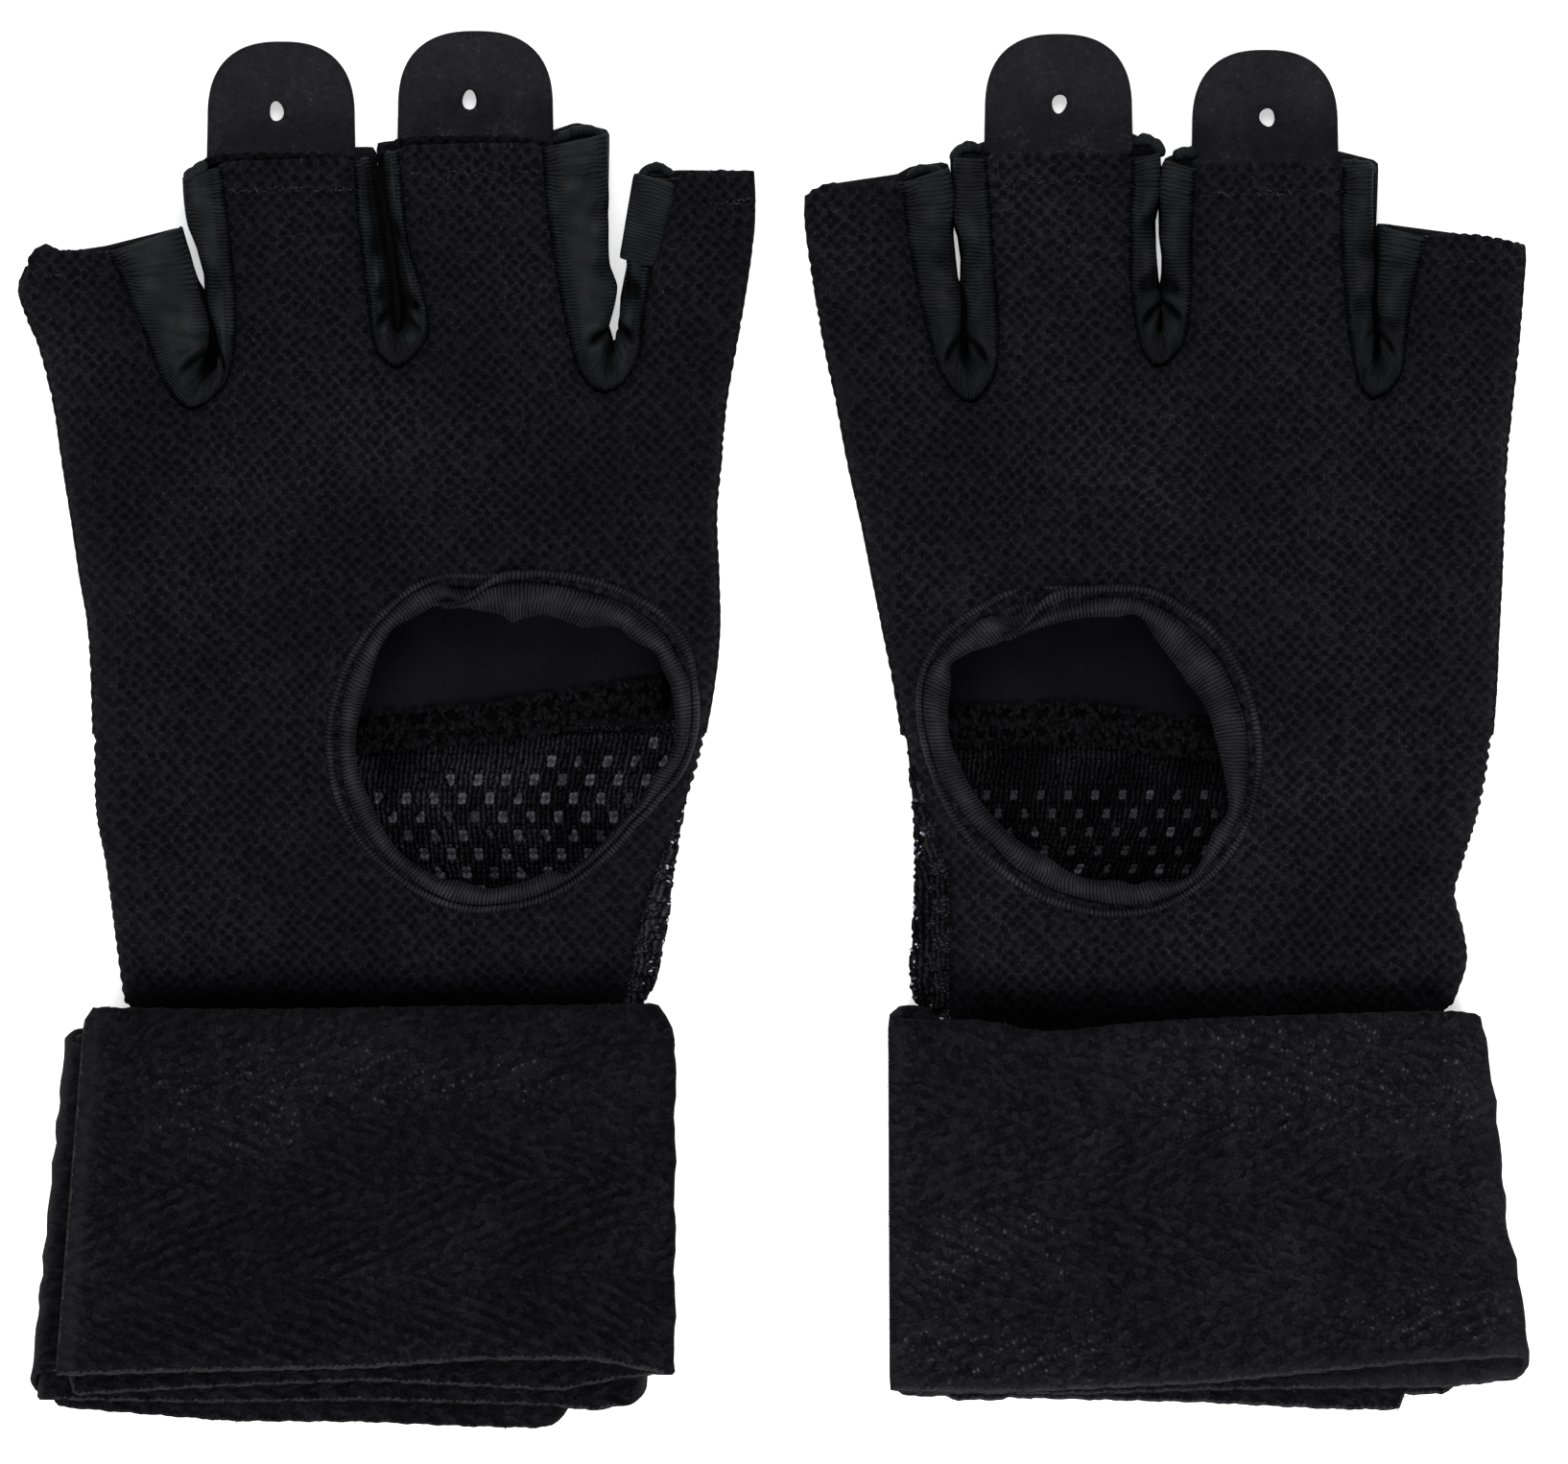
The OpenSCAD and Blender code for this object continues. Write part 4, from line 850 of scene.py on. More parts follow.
# ------------------------------------------------------------------ palm
def build_palm(g):
    n = g["side"]
    top = []
    for i, (kind, p, *_) in enumerate(g["tips"]):
        L = spline(p, 0.42)
        L = scallop(L, 1.5, 0.30 if kind == "hem" else 0.22, 40 + i)
        top.append(L[1:])
    left = scallop(spline(g.get("palm_left", g["left"]), 0.42), 1.45, 0.42, 3)
    right = scallop(spline(g.get("palm_right", g["right"]), 0.42), 1.45, -0.42, 4)[::-1]
    outline = np.vstack([left, *top[:-1], top[-1], right[1:], even(np.array([right[-1], left[0]]), 1.0)[1:-1]])
    P, F = panel([outline, g["hole_line"]], 0.72)
    V = np.c_[P, palm_z(g, P)]
    H = Heap()
    W, faces, src = thick(V, F, 1.15, up=0.0)
    # The third coordinate rises to one on the strip just above the wound tape, which the knit darkens: painted shade.
    H.add(W, faces, flat_of(np.c_[P, smooth(*((-33.8, -36.8) if n == "right" else (-35.6, -41.0)), P[:, 1])], src))
    o = H.make(n + "_palm_panel_cloth", M_PALM[n])
    finish_piece(o, n + "_glove", "palm_knit", n + "_palm_panel")
    as_sheet(V, F, 6)
    # sewing along the hems: short loose stitches that sink into the knit
    H = Heap()
    rg = np.random.default_rng(17)
    t = np.linspace(-1, 1, 5)
    for h, (x0, x1, dense) in zip(g["hems"], g["sewn"]):
        row = shift(h, -3.4)
        row = row[np.argsort(row[:, 0])]
        row[:, 1] = np.convolve(np.r_[np.full(6, row[0, 1]), row[:, 1], np.full(6, row[-1, 1])], np.ones(13) / 13, "valid")
        x = x0
        while x < x1:
            x += rg.uniform(0.3, 0.75)
            if rg.random() > dense:
                continue
            ang, ln, bow = rg.normal(0, 0.6), rg.uniform(0.18, 0.45), rg.uniform(-0.2, 0.2)
            q = np.c_[x + ln * np.cos(ang) * t - bow * np.sin(ang) * (1 - t * t), np.interp(x, row[:, 0], row[:, 1]) + rg.uniform(-0.35, 0.35) + ln * np.sin(ang) * t + bow * np.cos(ang) * (1 - t * t)]
            z = palm_z(g, q) + 0.02 + 0.13 * (1 - t * t)
            V2, F2 = tube(np.c_[q, z], rg.uniform(0.08, 0.14), 5)
            H.add(V2, F2, mat=0 if rg.random() < 0.35 else 1)
    o = H.make(n + "_hem_stitches", M_FUZZ, M_STITCH)
    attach(o, n + "_glove")
    return V, F


# ------------------------------------------------------------------ thumb hole binding
def build_binding(g):
    n = g["side"]
    c, w, ro, rb, ri = g["ring"]
    # one ribbon runs clockwise from its cut end, all the way round, and passes under that end
    cut, turn = g["overlap"], 2 * np.pi + g["taper"] + 0.12
    k = 760
    th = cut - np.linspace(-0.03, turn, k)
    run = cut - th

    def at(r):
        return np.interp((th + np.pi) % (2 * np.pi) - np.pi, np.r_[w, np.pi], np.r_[r, r[:1]])

    o, b, i = at(ro), at(rb), at(ri)
    lead = smooth(0.0, g["taper"], run)  # the cut end slants across the ribbon
    o = i + 0.55 + (o - i - 0.55) * lead
    b = np.minimum(b, o - 0.35 - 0.65 * lead)
    b = np.maximum(b, i + 0.15)
    hole = at(ro) - 1.5
    lift = 0.60 * smooth(g["taper"] + 0.30, g["taper"] - 0.05, run) - 0.50 * smooth(2 * np.pi - 0.10, 2 * np.pi + 0.25, run)
    rows = [(o + 0.12, -0.75, 1), (o + 0.08, -0.05, 1), (o - 0.08, 0.42, 1), (o - 0.40, 0.60, 0.8), (o - 0.72, 0.42, 1), (o - 0.92, -0.05, 1),
            ((o - 0.95) * 0.5 + b * 0.5, -0.60, 0.6), (b + 0.06, -0.35, 1), (b - 0.05, 0.20, 1), (b - 0.28, 0.66, 1),
            (b * 0.7 + i * 0.3, 0.92, 0.75), (b * 0.5 + i * 0.5, 0.98, 0.6), (b * 0.3 + i * 0.7, 0.88, 0.75),
            (np.minimum(i + 0.38, b * 0.15 + i * 0.85), 0.48, 1), (i + 0.08, -0.10, 1), (i, -0.80, 1), (i + 0.12, -1.6, 1), (i + 0.7, -2.1, 0.5), (i * 0.5 + o * 0.5, -2.2, 0.3), (o - 0.6, -1.7, 0.3)]
    d = np.c_[np.cos(th), np.sin(th)]
    s = arc(c + d * ((b + i) / 2)[:, None])
    V, A = [], []
    for j, (r, h, open_) in enumerate(rows):
        z = palm_z(g, c + d * np.maximum(r, hole)[:, None])
        z = np.convolve(np.r_[np.full(6, z[0]), z, np.full(6, z[-1])], np.ones(13) / 13, "valid")
        q = np.clip((o - r) / 4.5, 0, 1)
        puck = 0.12 * np.sin(s * 2 * np.pi / 3.4 + 2.0 * q) * smooth(0.3, 0.6, q) + 0.16 * np.sin(s * 2 * np.pi / 7.7 + 4 * q)
        wide = smooth(2.2, 4.5, b - i)  # a broad band sags towards the hand
        z = z + h + lift + puck * (1 if h > -0.3 else 0.3) - 1.3 * wide * smooth(0.25, 1.0, (b - r) / np.maximum(b - i, 0.5))
        V.append(np.c_[c + d * r[:, None], z])
        A.append(np.c_[s, o - r, np.full(k, open_)])
    m = len(rows)
    V, A = np.stack(V, 1).reshape(-1, 3), np.stack(A, 1).reshape(-1, 3)
    a = np.arange(k * m).reshape(k, m)
    F = np.stack([a[:-1], a[1:], np.roll(a[1:], -1, 1), np.roll(a[:-1], -1, 1)], -1).reshape(-1, 4)
    ends = [V[:m].mean(0), V[-m:].mean(0)]
    V, A = np.vstack([V, ends]), np.vstack([A, A[:1], A[-1:]])
    j = np.arange(m)
    caps = np.vstack([np.stack([np.full(m, k * m), j, (j + 1) % m], 1), np.stack([np.full(m, k * m + 1), (k - 1) * m + (j + 1) % m, (k - 1) * m + j], 1)])
    F, caps = outward(V, F, caps)
    H = Heap()
    H.add(V, [F, caps], A)
    # sewing down in the groove
    zg = palm_z(g, c + d * np.maximum((o - 0.95) * 0.5 + b * 0.5, hole)[:, None])
    path = np.c_[c + d * ((o - 0.95) * 0.5 + b * 0.5)[:, None], zg - 0.38 + lift][30:-40]
    stitches(H, path, np.array([0, 0, 1.0]), 2.2, 0.7, 0.14, mat=1, seed=5)
    ob = H.make(n + "_thumb_binding_ribbon", M_BIND, M_SEAM)
    finish_piece(ob, n + "_glove", "grosgrain", n + "_thumb_binding")


# ------------------------------------------------------------------ ribbed finger sides
def build_fourchettes(g):
    n = g["side"]
    slits = [np.array(p, float) for kind, p, *_ in g["tips"] if kind == "slit"]
    for i, (p, (bl, br), dents) in enumerate(zip(slits, g["slit_backs"], g["dents"])):
        full = spline(p, 0.05)
        c = int(np.argmin(full[:, 1]))
        na = 140
        Pl, Pr = even(full[:c + 1], n=na), even(full[c:], n=na)
        bl, br = spline(bl, 0.1), spline(br, 0.1)
        tipb = (bl[-1] + br[0]) / 2 + np.array([0, -0.5])

        def facing(P, B):
            """The points of the inner edge straight across from those of the palm edge, drawn together at the crotch."""
            B = B[np.argsort(B[:, 1])]
            yt, yp, bt, bp = P[:, 1].max(), P[:, 1].min(), B[-1, 1], B[0, 1]
            y = np.interp(P[:, 1], [yp, bp + 4, yt - 5, yt], [bp, bp + 4, yt - 5, bt])
            return np.c_[np.interp(y, B[:, 1], B[:, 0]), y]

        P = np.vstack([Pl, Pr[1:]])
        B = np.vstack([facing(Pl, np.vstack([bl, tipb])), facing(Pr, np.vstack([tipb, br]))[1:]])
        k = len(P)
        s, y = arc(P), P[:, 1]
        tip = s[na - 1]
        leg = np.where(np.arange(k) < na, -1, 1)
        near = np.exp(-((s - tip) / 4.6) ** 2)
        pz = palm_z(g, P)
        wid = np.linalg.norm(B - P, axis=1)
        dr = (B - P) / np.maximum(wid, 1e-6)[:, None]
        lip = wid * g["meet"][i] * (1 - near) + np.minimum(wid * 0.85, 4.6) * near
        for side, yc, h, deep, f0 in dents:
            lip = lip - 0.12 * deep * np.exp(-((y - yc) / h) ** 2) * (leg == side) * np.clip(lip / 4, 0, 1)
        kk = np.clip(lip / 2.8, 0.3, 1)
        seed = 7 * i + (0 if n == "right" else 50)
        ph = np.random.default_rng(seed).uniform(0, 6.28, 6)
        jit = 0.07 * np.sin(s * 2 * np.pi / 1.25 + ph[3]) + 0.06 * np.sin(s * 2 * np.pi / 2.7 + ph[4])
        end = np.minimum(s, s[-1] - s)
        hem = 0.16 * (1 - smooth(1.3, 1.8, end)) - 0.30 * np.exp(-((end - 1.9) / 0.3) ** 2) - 0.5 * (1 - smooth(0, 0.7, end)) ** 2
        big = 0.20 + 0.28 * smooth(3, 7, wid)

        def level(a):
            f = np.clip(a / np.maximum(lip, 0.3), 0, 1)
            z = pz - 0.30 + (0.20 + 1.0 * near) * np.sin(np.pi * f ** 0.85) - (0.25 + 0.9 * near) * f ** 2 + hem
            z = z + np.sin(np.pi * np.clip(f, 0.08, 0.9)) * (big * np.sin(s * 2 * np.pi / 8.3 + ph[0] + 4.5 * f) + 0.6 * big * np.sin(s * 2 * np.pi / 3.9 + ph[1] - 4 * f))
            z = z + 0.30 * near * np.cos((s - tip) * 2 * np.pi / 1.45 + ph[2]) * smooth(0.2, 0.7, f)
            return z - 1.2 * hollow(a)

        def hollow(a):
            """How far the ribbon is pressed in, folded or gathered; it lowers the ribbon and sets the painted shade of
            the dents.
            """
            f = np.clip(a / np.maximum(lip, 0.3), 0, 1)
            return sum(deep * np.exp(-((y - yc - 1.6 * (f - 0.5)) / (h * (0.5 + 1.2 * f))) ** 2) * smooth(f0, f0 + 0.45, f) * (leg == side) for side, yc, h, deep, f0 in dents)

        # Rib openness, pushed over one where the ribbon is pressed in so that the colour gets painted shade there.
        def rib_open_and_painted_shade(a, e):
            d = hollow(a)
            k_ = smooth(0.05, 1.1, d)
            return e * (1 - k_) + (1 + 0.95 * d) * k_

        one = np.ones(k)
        mid = 0.05 if n == "right" else 0.45
        # The rows under the palm edge get a little painted shade.
        rows = [(-1.1 + 0 * s, pz - 2.0, 1.2 * one), (-0.4 + 0 * s, pz - 1.7, 1.2 * one), (0.02 * kk + jit, pz - 1.0, one), (0.24 * kk + jit, pz - 0.5, one)]
        rows += [(a * kk + jit, level(a * kk) + d, rib_open_and_painted_shade(a * kk, e)) for a, d, e in ((0.45, -0.14, 1), (0.75, 0.10, 1), (1.15, -0.02, 0.85))]
        a0, a1 = 1.5 * kk, np.maximum(lip - 0.62 * kk, 1.55 * kk)
        for f in np.linspace(0, 1, 10):
            a = a0 + (a1 - a0) * f
            rows.append((a, level(a), rib_open_and_painted_shade(a, np.maximum(mid + (0.9 - mid) * abs(2 * f - 1) ** 2.2, 0.85 * near))))
        zl, u = level(lip), np.maximum(wid - lip, 0)
        far = 1 - near
        edge = rib_open_and_painted_shade(lip, 1.0)
        # The rows that fall away from the lip into the gap get painted shade, darker the deeper they go.
        rows += [(lip - 0.26 * kk, zl - 0.08, edge), (lip - 0.06 * kk, zl - 0.40, np.maximum(edge, 1.2)), (lip + 0.06 * u, zl - 1.0, np.maximum(edge, 1.6))]
        rows += [(lip + 0.25 * u - 0.08 * kk * far, zl - 2.2, 2.2 * one), (lip + 0.6 * u - 0.16 * kk * far, 0.45 * (zl - 2.2) + 0.7, 2.6 * one), (lip + u - 0.2 * kk * far, 1.25 + 0 * s, 2.6 * one)]
        V = np.stack([np.c_[P + dr * a[:, None], z] for a, z, e in rows], 1).reshape(-1, 3)
        A = np.stack([np.c_[s, a, e] for a, z, e in rows], 1).reshape(-1, 3)
        F = grid(k, len(rows))
        if normals(V, F)[:, 2].mean() < 0:
            F = F[:, ::-1]
        H = Heap()
        W, faces, src = thick(V, F, 0.45, up=0.0)
        H.add(W, faces, A[src])
        if n == "right" and i == 2:
            # the ribbon end turned over into a little cuff
            c4 = np.array([(-18.0, 72.9), (-12.9, 71.4), (-15.3, 61.2), (-19.8, 62.2)])
            nu, nv = 40, 14
            uu, vv = np.meshgrid(np.linspace(0, 1, nu), np.linspace(0, 1, nv), indexing="ij")
            q = (c4[0] * (1 - vv[..., None]) + c4[1] * vv[..., None]) * (1 - uu[..., None]) + (c4[3] * (1 - vv[..., None]) + c4[2] * vv[..., None]) * uu[..., None]
            z = 7.6 + 1.3 * np.sin(np.pi * (0.14 + 0.72 * vv)) ** 0.7 + 0.5 * uu + 0.12 * np.sin(uu * 9 + 2 * vv)
            V2 = np.c_[q.reshape(-1, 2), z.ravel()]
            F2 = grid(nu, nv)
            if normals(V2, F2)[:, 2].mean() < 0:
                F2 = F2[:, ::-1]
            W, faces, src = thick(V2, F2, 0.7)
            H.add(W, faces, np.c_[uu.ravel() * 11.3, vv.ravel() * 5, np.full(uu.size, 0.7)][src])
        # sewing down in the seam that meets the palm
        stitches(H, np.c_[P + dr * 0.02, pz - 1.05], np.array([0, 0, 1.0]), 1.5, 0.9, 0.13, mat=1, seed=seed)
        o = H.make(g["fourchettes"][i] + "_ribbon", M_RIB[n], M_SEAM)
        finish_piece(o, n + "_glove", "grosgrain", g["fourchettes"][i])


# ------------------------------------------------------------------ dorsal side
def build_back(g):
    n = g["side"]
    up = g["L"][g["L"][:, 1] >= -1.0], g["R"][g["R"][:, 1] >= -1.0]
    backs = even(np.array(g["backs"], float), 0.6)
    backs = backs[(backs[:, 1] > 0)]
    outline = np.vstack([scallop(even(up[0], 0.6), 1.6, 0.2, 8)[:-2], backs, scallop(even(up[1], 0.6), 1.6, -0.2, 9)[::-1][2:]])
    outline = np.vstack([outline, even(np.array([outline[-1], outline[0]]), 1.0)[1:-1]])
    P, F = panel([outline], 0.95)
    side = np.minimum(gap(P, g["L"]), gap(P, g["R"]))
    B = np.array(g["backs"], float)
    fin = gap(P, B)
    y = P[:, 1]
    e = np.clip(side / 7.5, 0, 1)
    z = 0.55 + 4.3 * (1 - np.sqrt(np.clip(1 - (1 - e) ** 2, 0, 1)))
    z = z + 0.35 * smooth(43, 50, y)
    z = z + (0.12 * waves(P, 22, 31) + 0.12 * waves(P, 9, 32)) * smooth(0, 6, side) * smooth(42, 55, y)
    z = z + 0.35 * np.exp(-(fin / 1.2) ** 2) * smooth(44, 52, y)
    z = z + 0.5 * (1 - smooth(0, 3.5, y))
    # sewn channels over the knuckle pad, pressed in from outside
    for yc in (10.5, 18.2, 25.8, 33.5):
        bow = 1.2 * np.sin((P[:, 0] - P[:, 0].mean()) / 26)
        z = z + 0.55 * np.exp(-((y - yc - bow) / 0.9) ** 2) * smooth(4, 8, side)
    z = z + 0.7 * np.exp(-((y - 42) / 1.0) ** 2) * smooth(1, 5, side)
    V = np.c_[P, np.maximum(z, 0.5)]
    H = Heap()
    W, faces, src = thick(V, F, 0.9)
    H.add(W, faces, flat_of(P, src))
    down = np.array([0, 0, -1.0])
    for yc in (10.5, 18.2, 25.8, 33.5, 42):
        x = np.arange(outline[:, 0].min(), outline[:, 0].max(), 0.5)
        q = np.c_[x, np.full(len(x), yc)]
        q[:, 1] += 1.2 * np.sin((q[:, 0] - P[:, 0].mean()) / 26) if yc < 40 else 0
        d = np.minimum(gap(q, g["L"]), gap(q, g["R"]))
        q = q[inside(outline, q) & (d > 7)]
        if len(q) > 10:
            stitches(H, np.c_[q, np.full(len(q), 0.50 if yc < 40 else 0.9)], down, 2.4, 0.8, 0.2, mat=1, seed=int(yc))
    # rolled hems at the finger ends
    for j, (pts, r, zc, mat) in enumerate(g["rolls"]):
        p = spline(np.array(pts, float), 0.3)
        t = np.linspace(0, 1, len(p))
        z = zc + 0.15 * np.sin(p[:, 0] * 1.9 + j)
        rr = r * (0.92 + 0.10 * np.sin(p[:, 0] * 3.7 + 2 * j) + 0.06 * np.sin(p[:, 0] * 8.1)) * (1 - 0.5 * np.abs(2 * t - 1) ** 6)
        T, f = tube(np.c_[p, z], rr, 10)
        s = np.repeat(arc(p), 10)
        H.add(T, f, np.c_[np.r_[s, 0, s[-1]], np.r_[np.tile(np.arange(10) * r * 0.63, len(p)), 0, 0], np.full(len(T), 0.0 if mat == 2 else 0.35)], mat)
    o = H.make(n + "_back_shell_cloth", M_BACK, M_THREAD, M_PALM[n], M_RIB[n])
    finish_piece(o, n + "_glove", "back_cloth", n + "_back_shell")
    as_sheet(V, F, 6)


def between(g, inset, y0, y1, step):
    """Outline of a patch inside the hand between two heights."""
    y = np.arange(y0, y1 + 0.01, step)
    xl = np.interp(y, g["L"][:, 1], g["L"][:, 0]) + inset
    xr = np.interp(y, g["R"][:, 1], g["R"][:, 0]) - inset
    r = 5.0
    cut = r - np.sqrt(np.clip(r ** 2 - np.clip(r - np.minimum(y - y0, y1 - y), 0, r) ** 2, 0, None))
    l, rr = np.c_[xl + cut, y], np.c_[xr - cut, y]
    return even(np.vstack([l, even(np.array([l[-1], rr[-1]]), step)[1:-1], rr[::-1], even(np.array([rr[0], l[0]]), step)[1:-1]]), step, closed=True)


def build_padding(g):
    n = g["side"]
    # foam
    out = between(g, 7.0, 5, 38.5, 1.0)
    P, F = panel([out], 1.6)
    d = gap(P, ring(out))
    f = np.sqrt(np.clip(1 - (1 - np.clip(d / 3.5, 0, 1)) ** 2, 0, 1))
    ch = sum(np.exp(-((P[:, 1] - yc) / 1.3) ** 2) for yc in (10.5, 18.2, 25.8, 33.5))
    top = np.c_[P, 2.9 + 1.5 * f]
    bot = np.c_[P, 2.9 - 1.5 * f + 0.55 * ch * f]
    N = np.tile([0, 0, 1.0], (len(P), 1))
    H = Heap()
    W, faces, src = closed(top, bot, F, N, 0.25)
    H.add(W, faces)
    o = H.make(n + "_knuckle_pad_foam", M_FOAM)
    finish_piece(o, n + "_glove", "foam", n + "_knuckle_pad")
    # smooth lining over it
    out = between(g, 2.6, 0.5, 42.5, 0.8)
    P, F = panel([out], 1.3)
    d = gap(P, ring(out))
    z = 4.95 + 0.12 * waves(P, 18, 21) + 0.05 * waves(P, 6, 22) - 1.3 * (1 - smooth(0, 6, d)) * smooth(3, 8, P[:, 1])
    V = np.c_[P, z]
    H = Heap()
    W, faces, src = thick(V, F, 0.55)
    H.add(W, faces, flat_of(P, src))
    o = H.make(n + "_pad_lining_cloth", M_LINING)
    finish_piece(o, n + "_glove", "lining", n + "_pad_lining")
    as_sheet(V, F)


def mesh_sections(g):
    """Cross-sections of the back mesh, from its left to its right edge, for heights from wrist to knuckles."""
    Y = np.arange(-78, 1.6, 1.0)
    S = []
    for y in Y:
        xl, xr = np.interp(y, g["L"][:, 1], g["L"][:, 0]), np.interp(y, g["R"][:, 1], g["R"][:, 0])
        pl, pr = np.interp(y, g["PL"][:, 1], g["PL"][:, 0]), np.interp(y, g["PR"][:, 1], g["PR"][:, 0])
        mid = 3.75
        over = max(pl - xl, 0.3)
        pts = [(xl + over + 1.2, 6.1), (xl + 0.7 + over * 0.4, 6.4), (xl + 0.95, 5.6), (xl + 1.9, 4.7), (xl + 5, mid), (xl + 10, mid - 0.1)]
        pts += [((xl * 2 + xr) / 3, mid - 0.15), ((xl + xr * 2) / 3, mid - 0.15)]
        over = max(xr - pr, 0.3)
        pts += [(xr - 10, mid - 0.1), (xr - 5, mid), (xr - 1.9, 4.7), (xr - 0.95, 5.6), (xr - 0.7 - over * 0.4, 6.4), (xr - over - 1.2, 6.1)]
        c = spline(pts, n=161)
        S.append(np.c_[c[:, 0], np.full(161, y), c[:, 1]])
    return Y, np.array(S)


def build_mesh(g):
    n = g["side"]
    Y, S = mesh_sections(g)
    lens = np.array([arc(s)[-1] for s in S])
    NA = np.array([np.gradient(s, axis=0) for s in S])
    NB = np.gradient(S, axis=0)
    N = np.cross(NA, NB)
    N /= np.linalg.norm(N, axis=2)[..., None]
    N *= np.sign(N[:, 80, 2])[:, None, None]

    def at(u, y, lift):
        """Place of a point at share u of the width and height y, lifted off the middle of the mesh."""
        i = np.clip((y - Y[0]) / 1.0, 0, len(Y) - 1.001)
        j = np.clip(u * 160, 0, 159.999)
        i0, j0 = i.astype(int), j.astype(int)
        a, b = (i - i0)[:, None], (j - j0)[:, None]

        def mix(T):
            return (T[i0, j0] * (1 - b) + T[i0, j0 + 1] * b) * (1 - a) + (T[i0 + 1, j0] * (1 - b) + T[i0 + 1, j0 + 1] * b) * a

        q = mix(N)
        q /= np.linalg.norm(q, axis=1)[:, None]
        return mix(S) + q * np.asarray(lift)[:, None]

    a, b, base = 3.66, 2.45, g["net"]["base"]
    cols = int(round(np.interp(-9.0, Y, lens) / a))
    rows = int((1.4 - base) / b)
    # one brick of netting with its hole
    k = 12
    w = np.linspace(0, 2 * np.pi, k, endpoint=False)
    edge = np.c_[np.cos(w), np.sin(w)]
    edge = edge / np.abs(edge).max(1)[:, None] * 0.5
    hole = np.c_[0.25 * np.cos(w), 0.40 * np.sin(w)]
    mids = []
    for row in range(rows):
        for col in range(-1 if row % 2 else 0, cols):
            cu = col + (1.0 if row % 2 else 0.5)
            if cu - 0.51 < 0 or cu + 0.51 > cols or base + (row + 0.02) * b < -78:
                continue
            mids.append((cu, row + 0.5))
    mids = np.array(mids)
    M3 = at(mids[:, 0] / cols, base + mids[:, 1] * b, np.zeros(len(mids)))
    lx, ly = zip(*g["net"]["first"])
    # next to the seam the net is knitted close, without holes
    full = smooth(0.5, -0.7, M3[:, 1] - np.interp(M3[:, 0], lx, ly))
    size = np.where(full > 0.5, g["net"]["size"], 0.05)
    rings = [(0.0, 1.0, 0.0), (0.38, 0.62, 0.16), (0.78, 0.22, 0.12), (1.0, 0.0, -0.12)]
    Uc, Tc, Zc = [], [], []
    for hk, ek, h in rings:
        q = edge[None] * ek + hole[None] * hk * size[:, None, None]
        Uc.append(q[..., 0] + mids[:, :1])
        Tc.append(q[..., 1] + mids[:, 1:])
        Zc.append(np.full(q.shape[:2], h))
    U, T, Z = (np.stack(x, 1).reshape(-1) for x in (Uc, Tc, Zc))
    i = np.arange(k)
    fq = np.vstack([np.stack([r * k + i, r * k + (i + 1) % k, (r + 1) * k + (i + 1) % k, (r + 1) * k + i], 1) for r in range(3)])
    Q = (fq[None] + (np.arange(len(mids)) * 4 * k)[:, None, None]).reshape(-1, 4)
    key = np.round(np.c_[U * 64, T * 64]).astype(int)
    _, first, back = np.unique(key, axis=0, return_index=True, return_inverse=True)
    U, T, Z, Q = U[first], T[first], Z[first], back.ravel()[Q]
    u, y = U / cols, np.clip(base + T * b, -78, 1.4)
    # paler where it comes out past the palm by the thumb
    rim = smooth(6.5, 2.0, (u if n == "left" else 1 - u) * np.interp(y, Y, lens))
    H = Heap()
    for sgn in (1, -1):
        V = at(u, y, sgn * (0.62 + Z))
        F = Q
        if (normals(V, F)[:, 2].mean() > 0) != (sgn > 0):
            F = F[:, ::-1]
        W, faces, src = thick(V, F, 0.36)
        H.add(W, faces, flat_of(np.c_[u * cols * a, y, rim], src), 0)
    # grey knit between the two faces
    m = 64
    gu, gy = np.meshgrid(np.linspace(0.006, 0.994, m), np.linspace(-77.6, 1.0, m), indexing="ij")
    V = at(gu.ravel(), gy.ravel(), 0.08 * waves(np.c_[gu.ravel() * 70, gy.ravel()], 3.0, 77) - 0.15)
    F = grid(m, m)
    if normals(V, F)[:, 2].mean() < 0:
        F = F[:, ::-1]
    W, faces, src = thick(V, F, 0.25)
    H.add(W, faces, flat_of(np.c_[gu.ravel() * 70, gy.ravel()], src), 1)
    # pale spacer yarns that show in each hole
    rg = np.random.default_rng(12)
    t = np.linspace(-1, 1, 3)
    row_y = np.round(M3[:, 1], 2)
    ends = {q: (M3[row_y == q, 0].min(), M3[row_y == q, 0].max()) for q in np.unique(row_y)}
    for (cu, cv), p3, f, q in zip(mids, M3, full, row_y):
        lo, hi = ends[q]
        if f < 0.5 or p3[1] < -44 or ((p3[0] < lo + 2.0 or p3[0] > hi - 2.0) and p3[1] < -10):
            continue
        # Bundles marked this way take the shaded copy of the yarn colour: painted shade.
        shaded_bundle = rg.random() > g["net"]["bright"]
        for sx in (-1, 1):
            for sy in (-1, 1):
                if rg.random() < 0.06:
                    continue
                du, dv = 0.35 * sx + rg.uniform(-0.07, 0.07), 0.56 * sy + rg.uniform(-0.07, 0.07)
                ln, lean = rg.uniform(0.46, 0.60), -sx * sy * rg.uniform(0.05, 0.26)
                uu = (cu + (du + lean * t) * 0.225 * g["net"]["size"]) / cols
                yy = base + cv * b + (dv + ln * t) * 0.39 * b * g["net"]["size"]
                q = at(uu, yy, 0.32 + 0.16 * (1 - t * t))
                T4, f4 = tube(q, np.array([0.25, 0.41, 0.25]) * g["net"]["size"] * rg.uniform(0.8, 1.1), 5)
                H.add(T4, f4, mat=3 if shaded_bundle or rg.random() < 0.15 else 2)
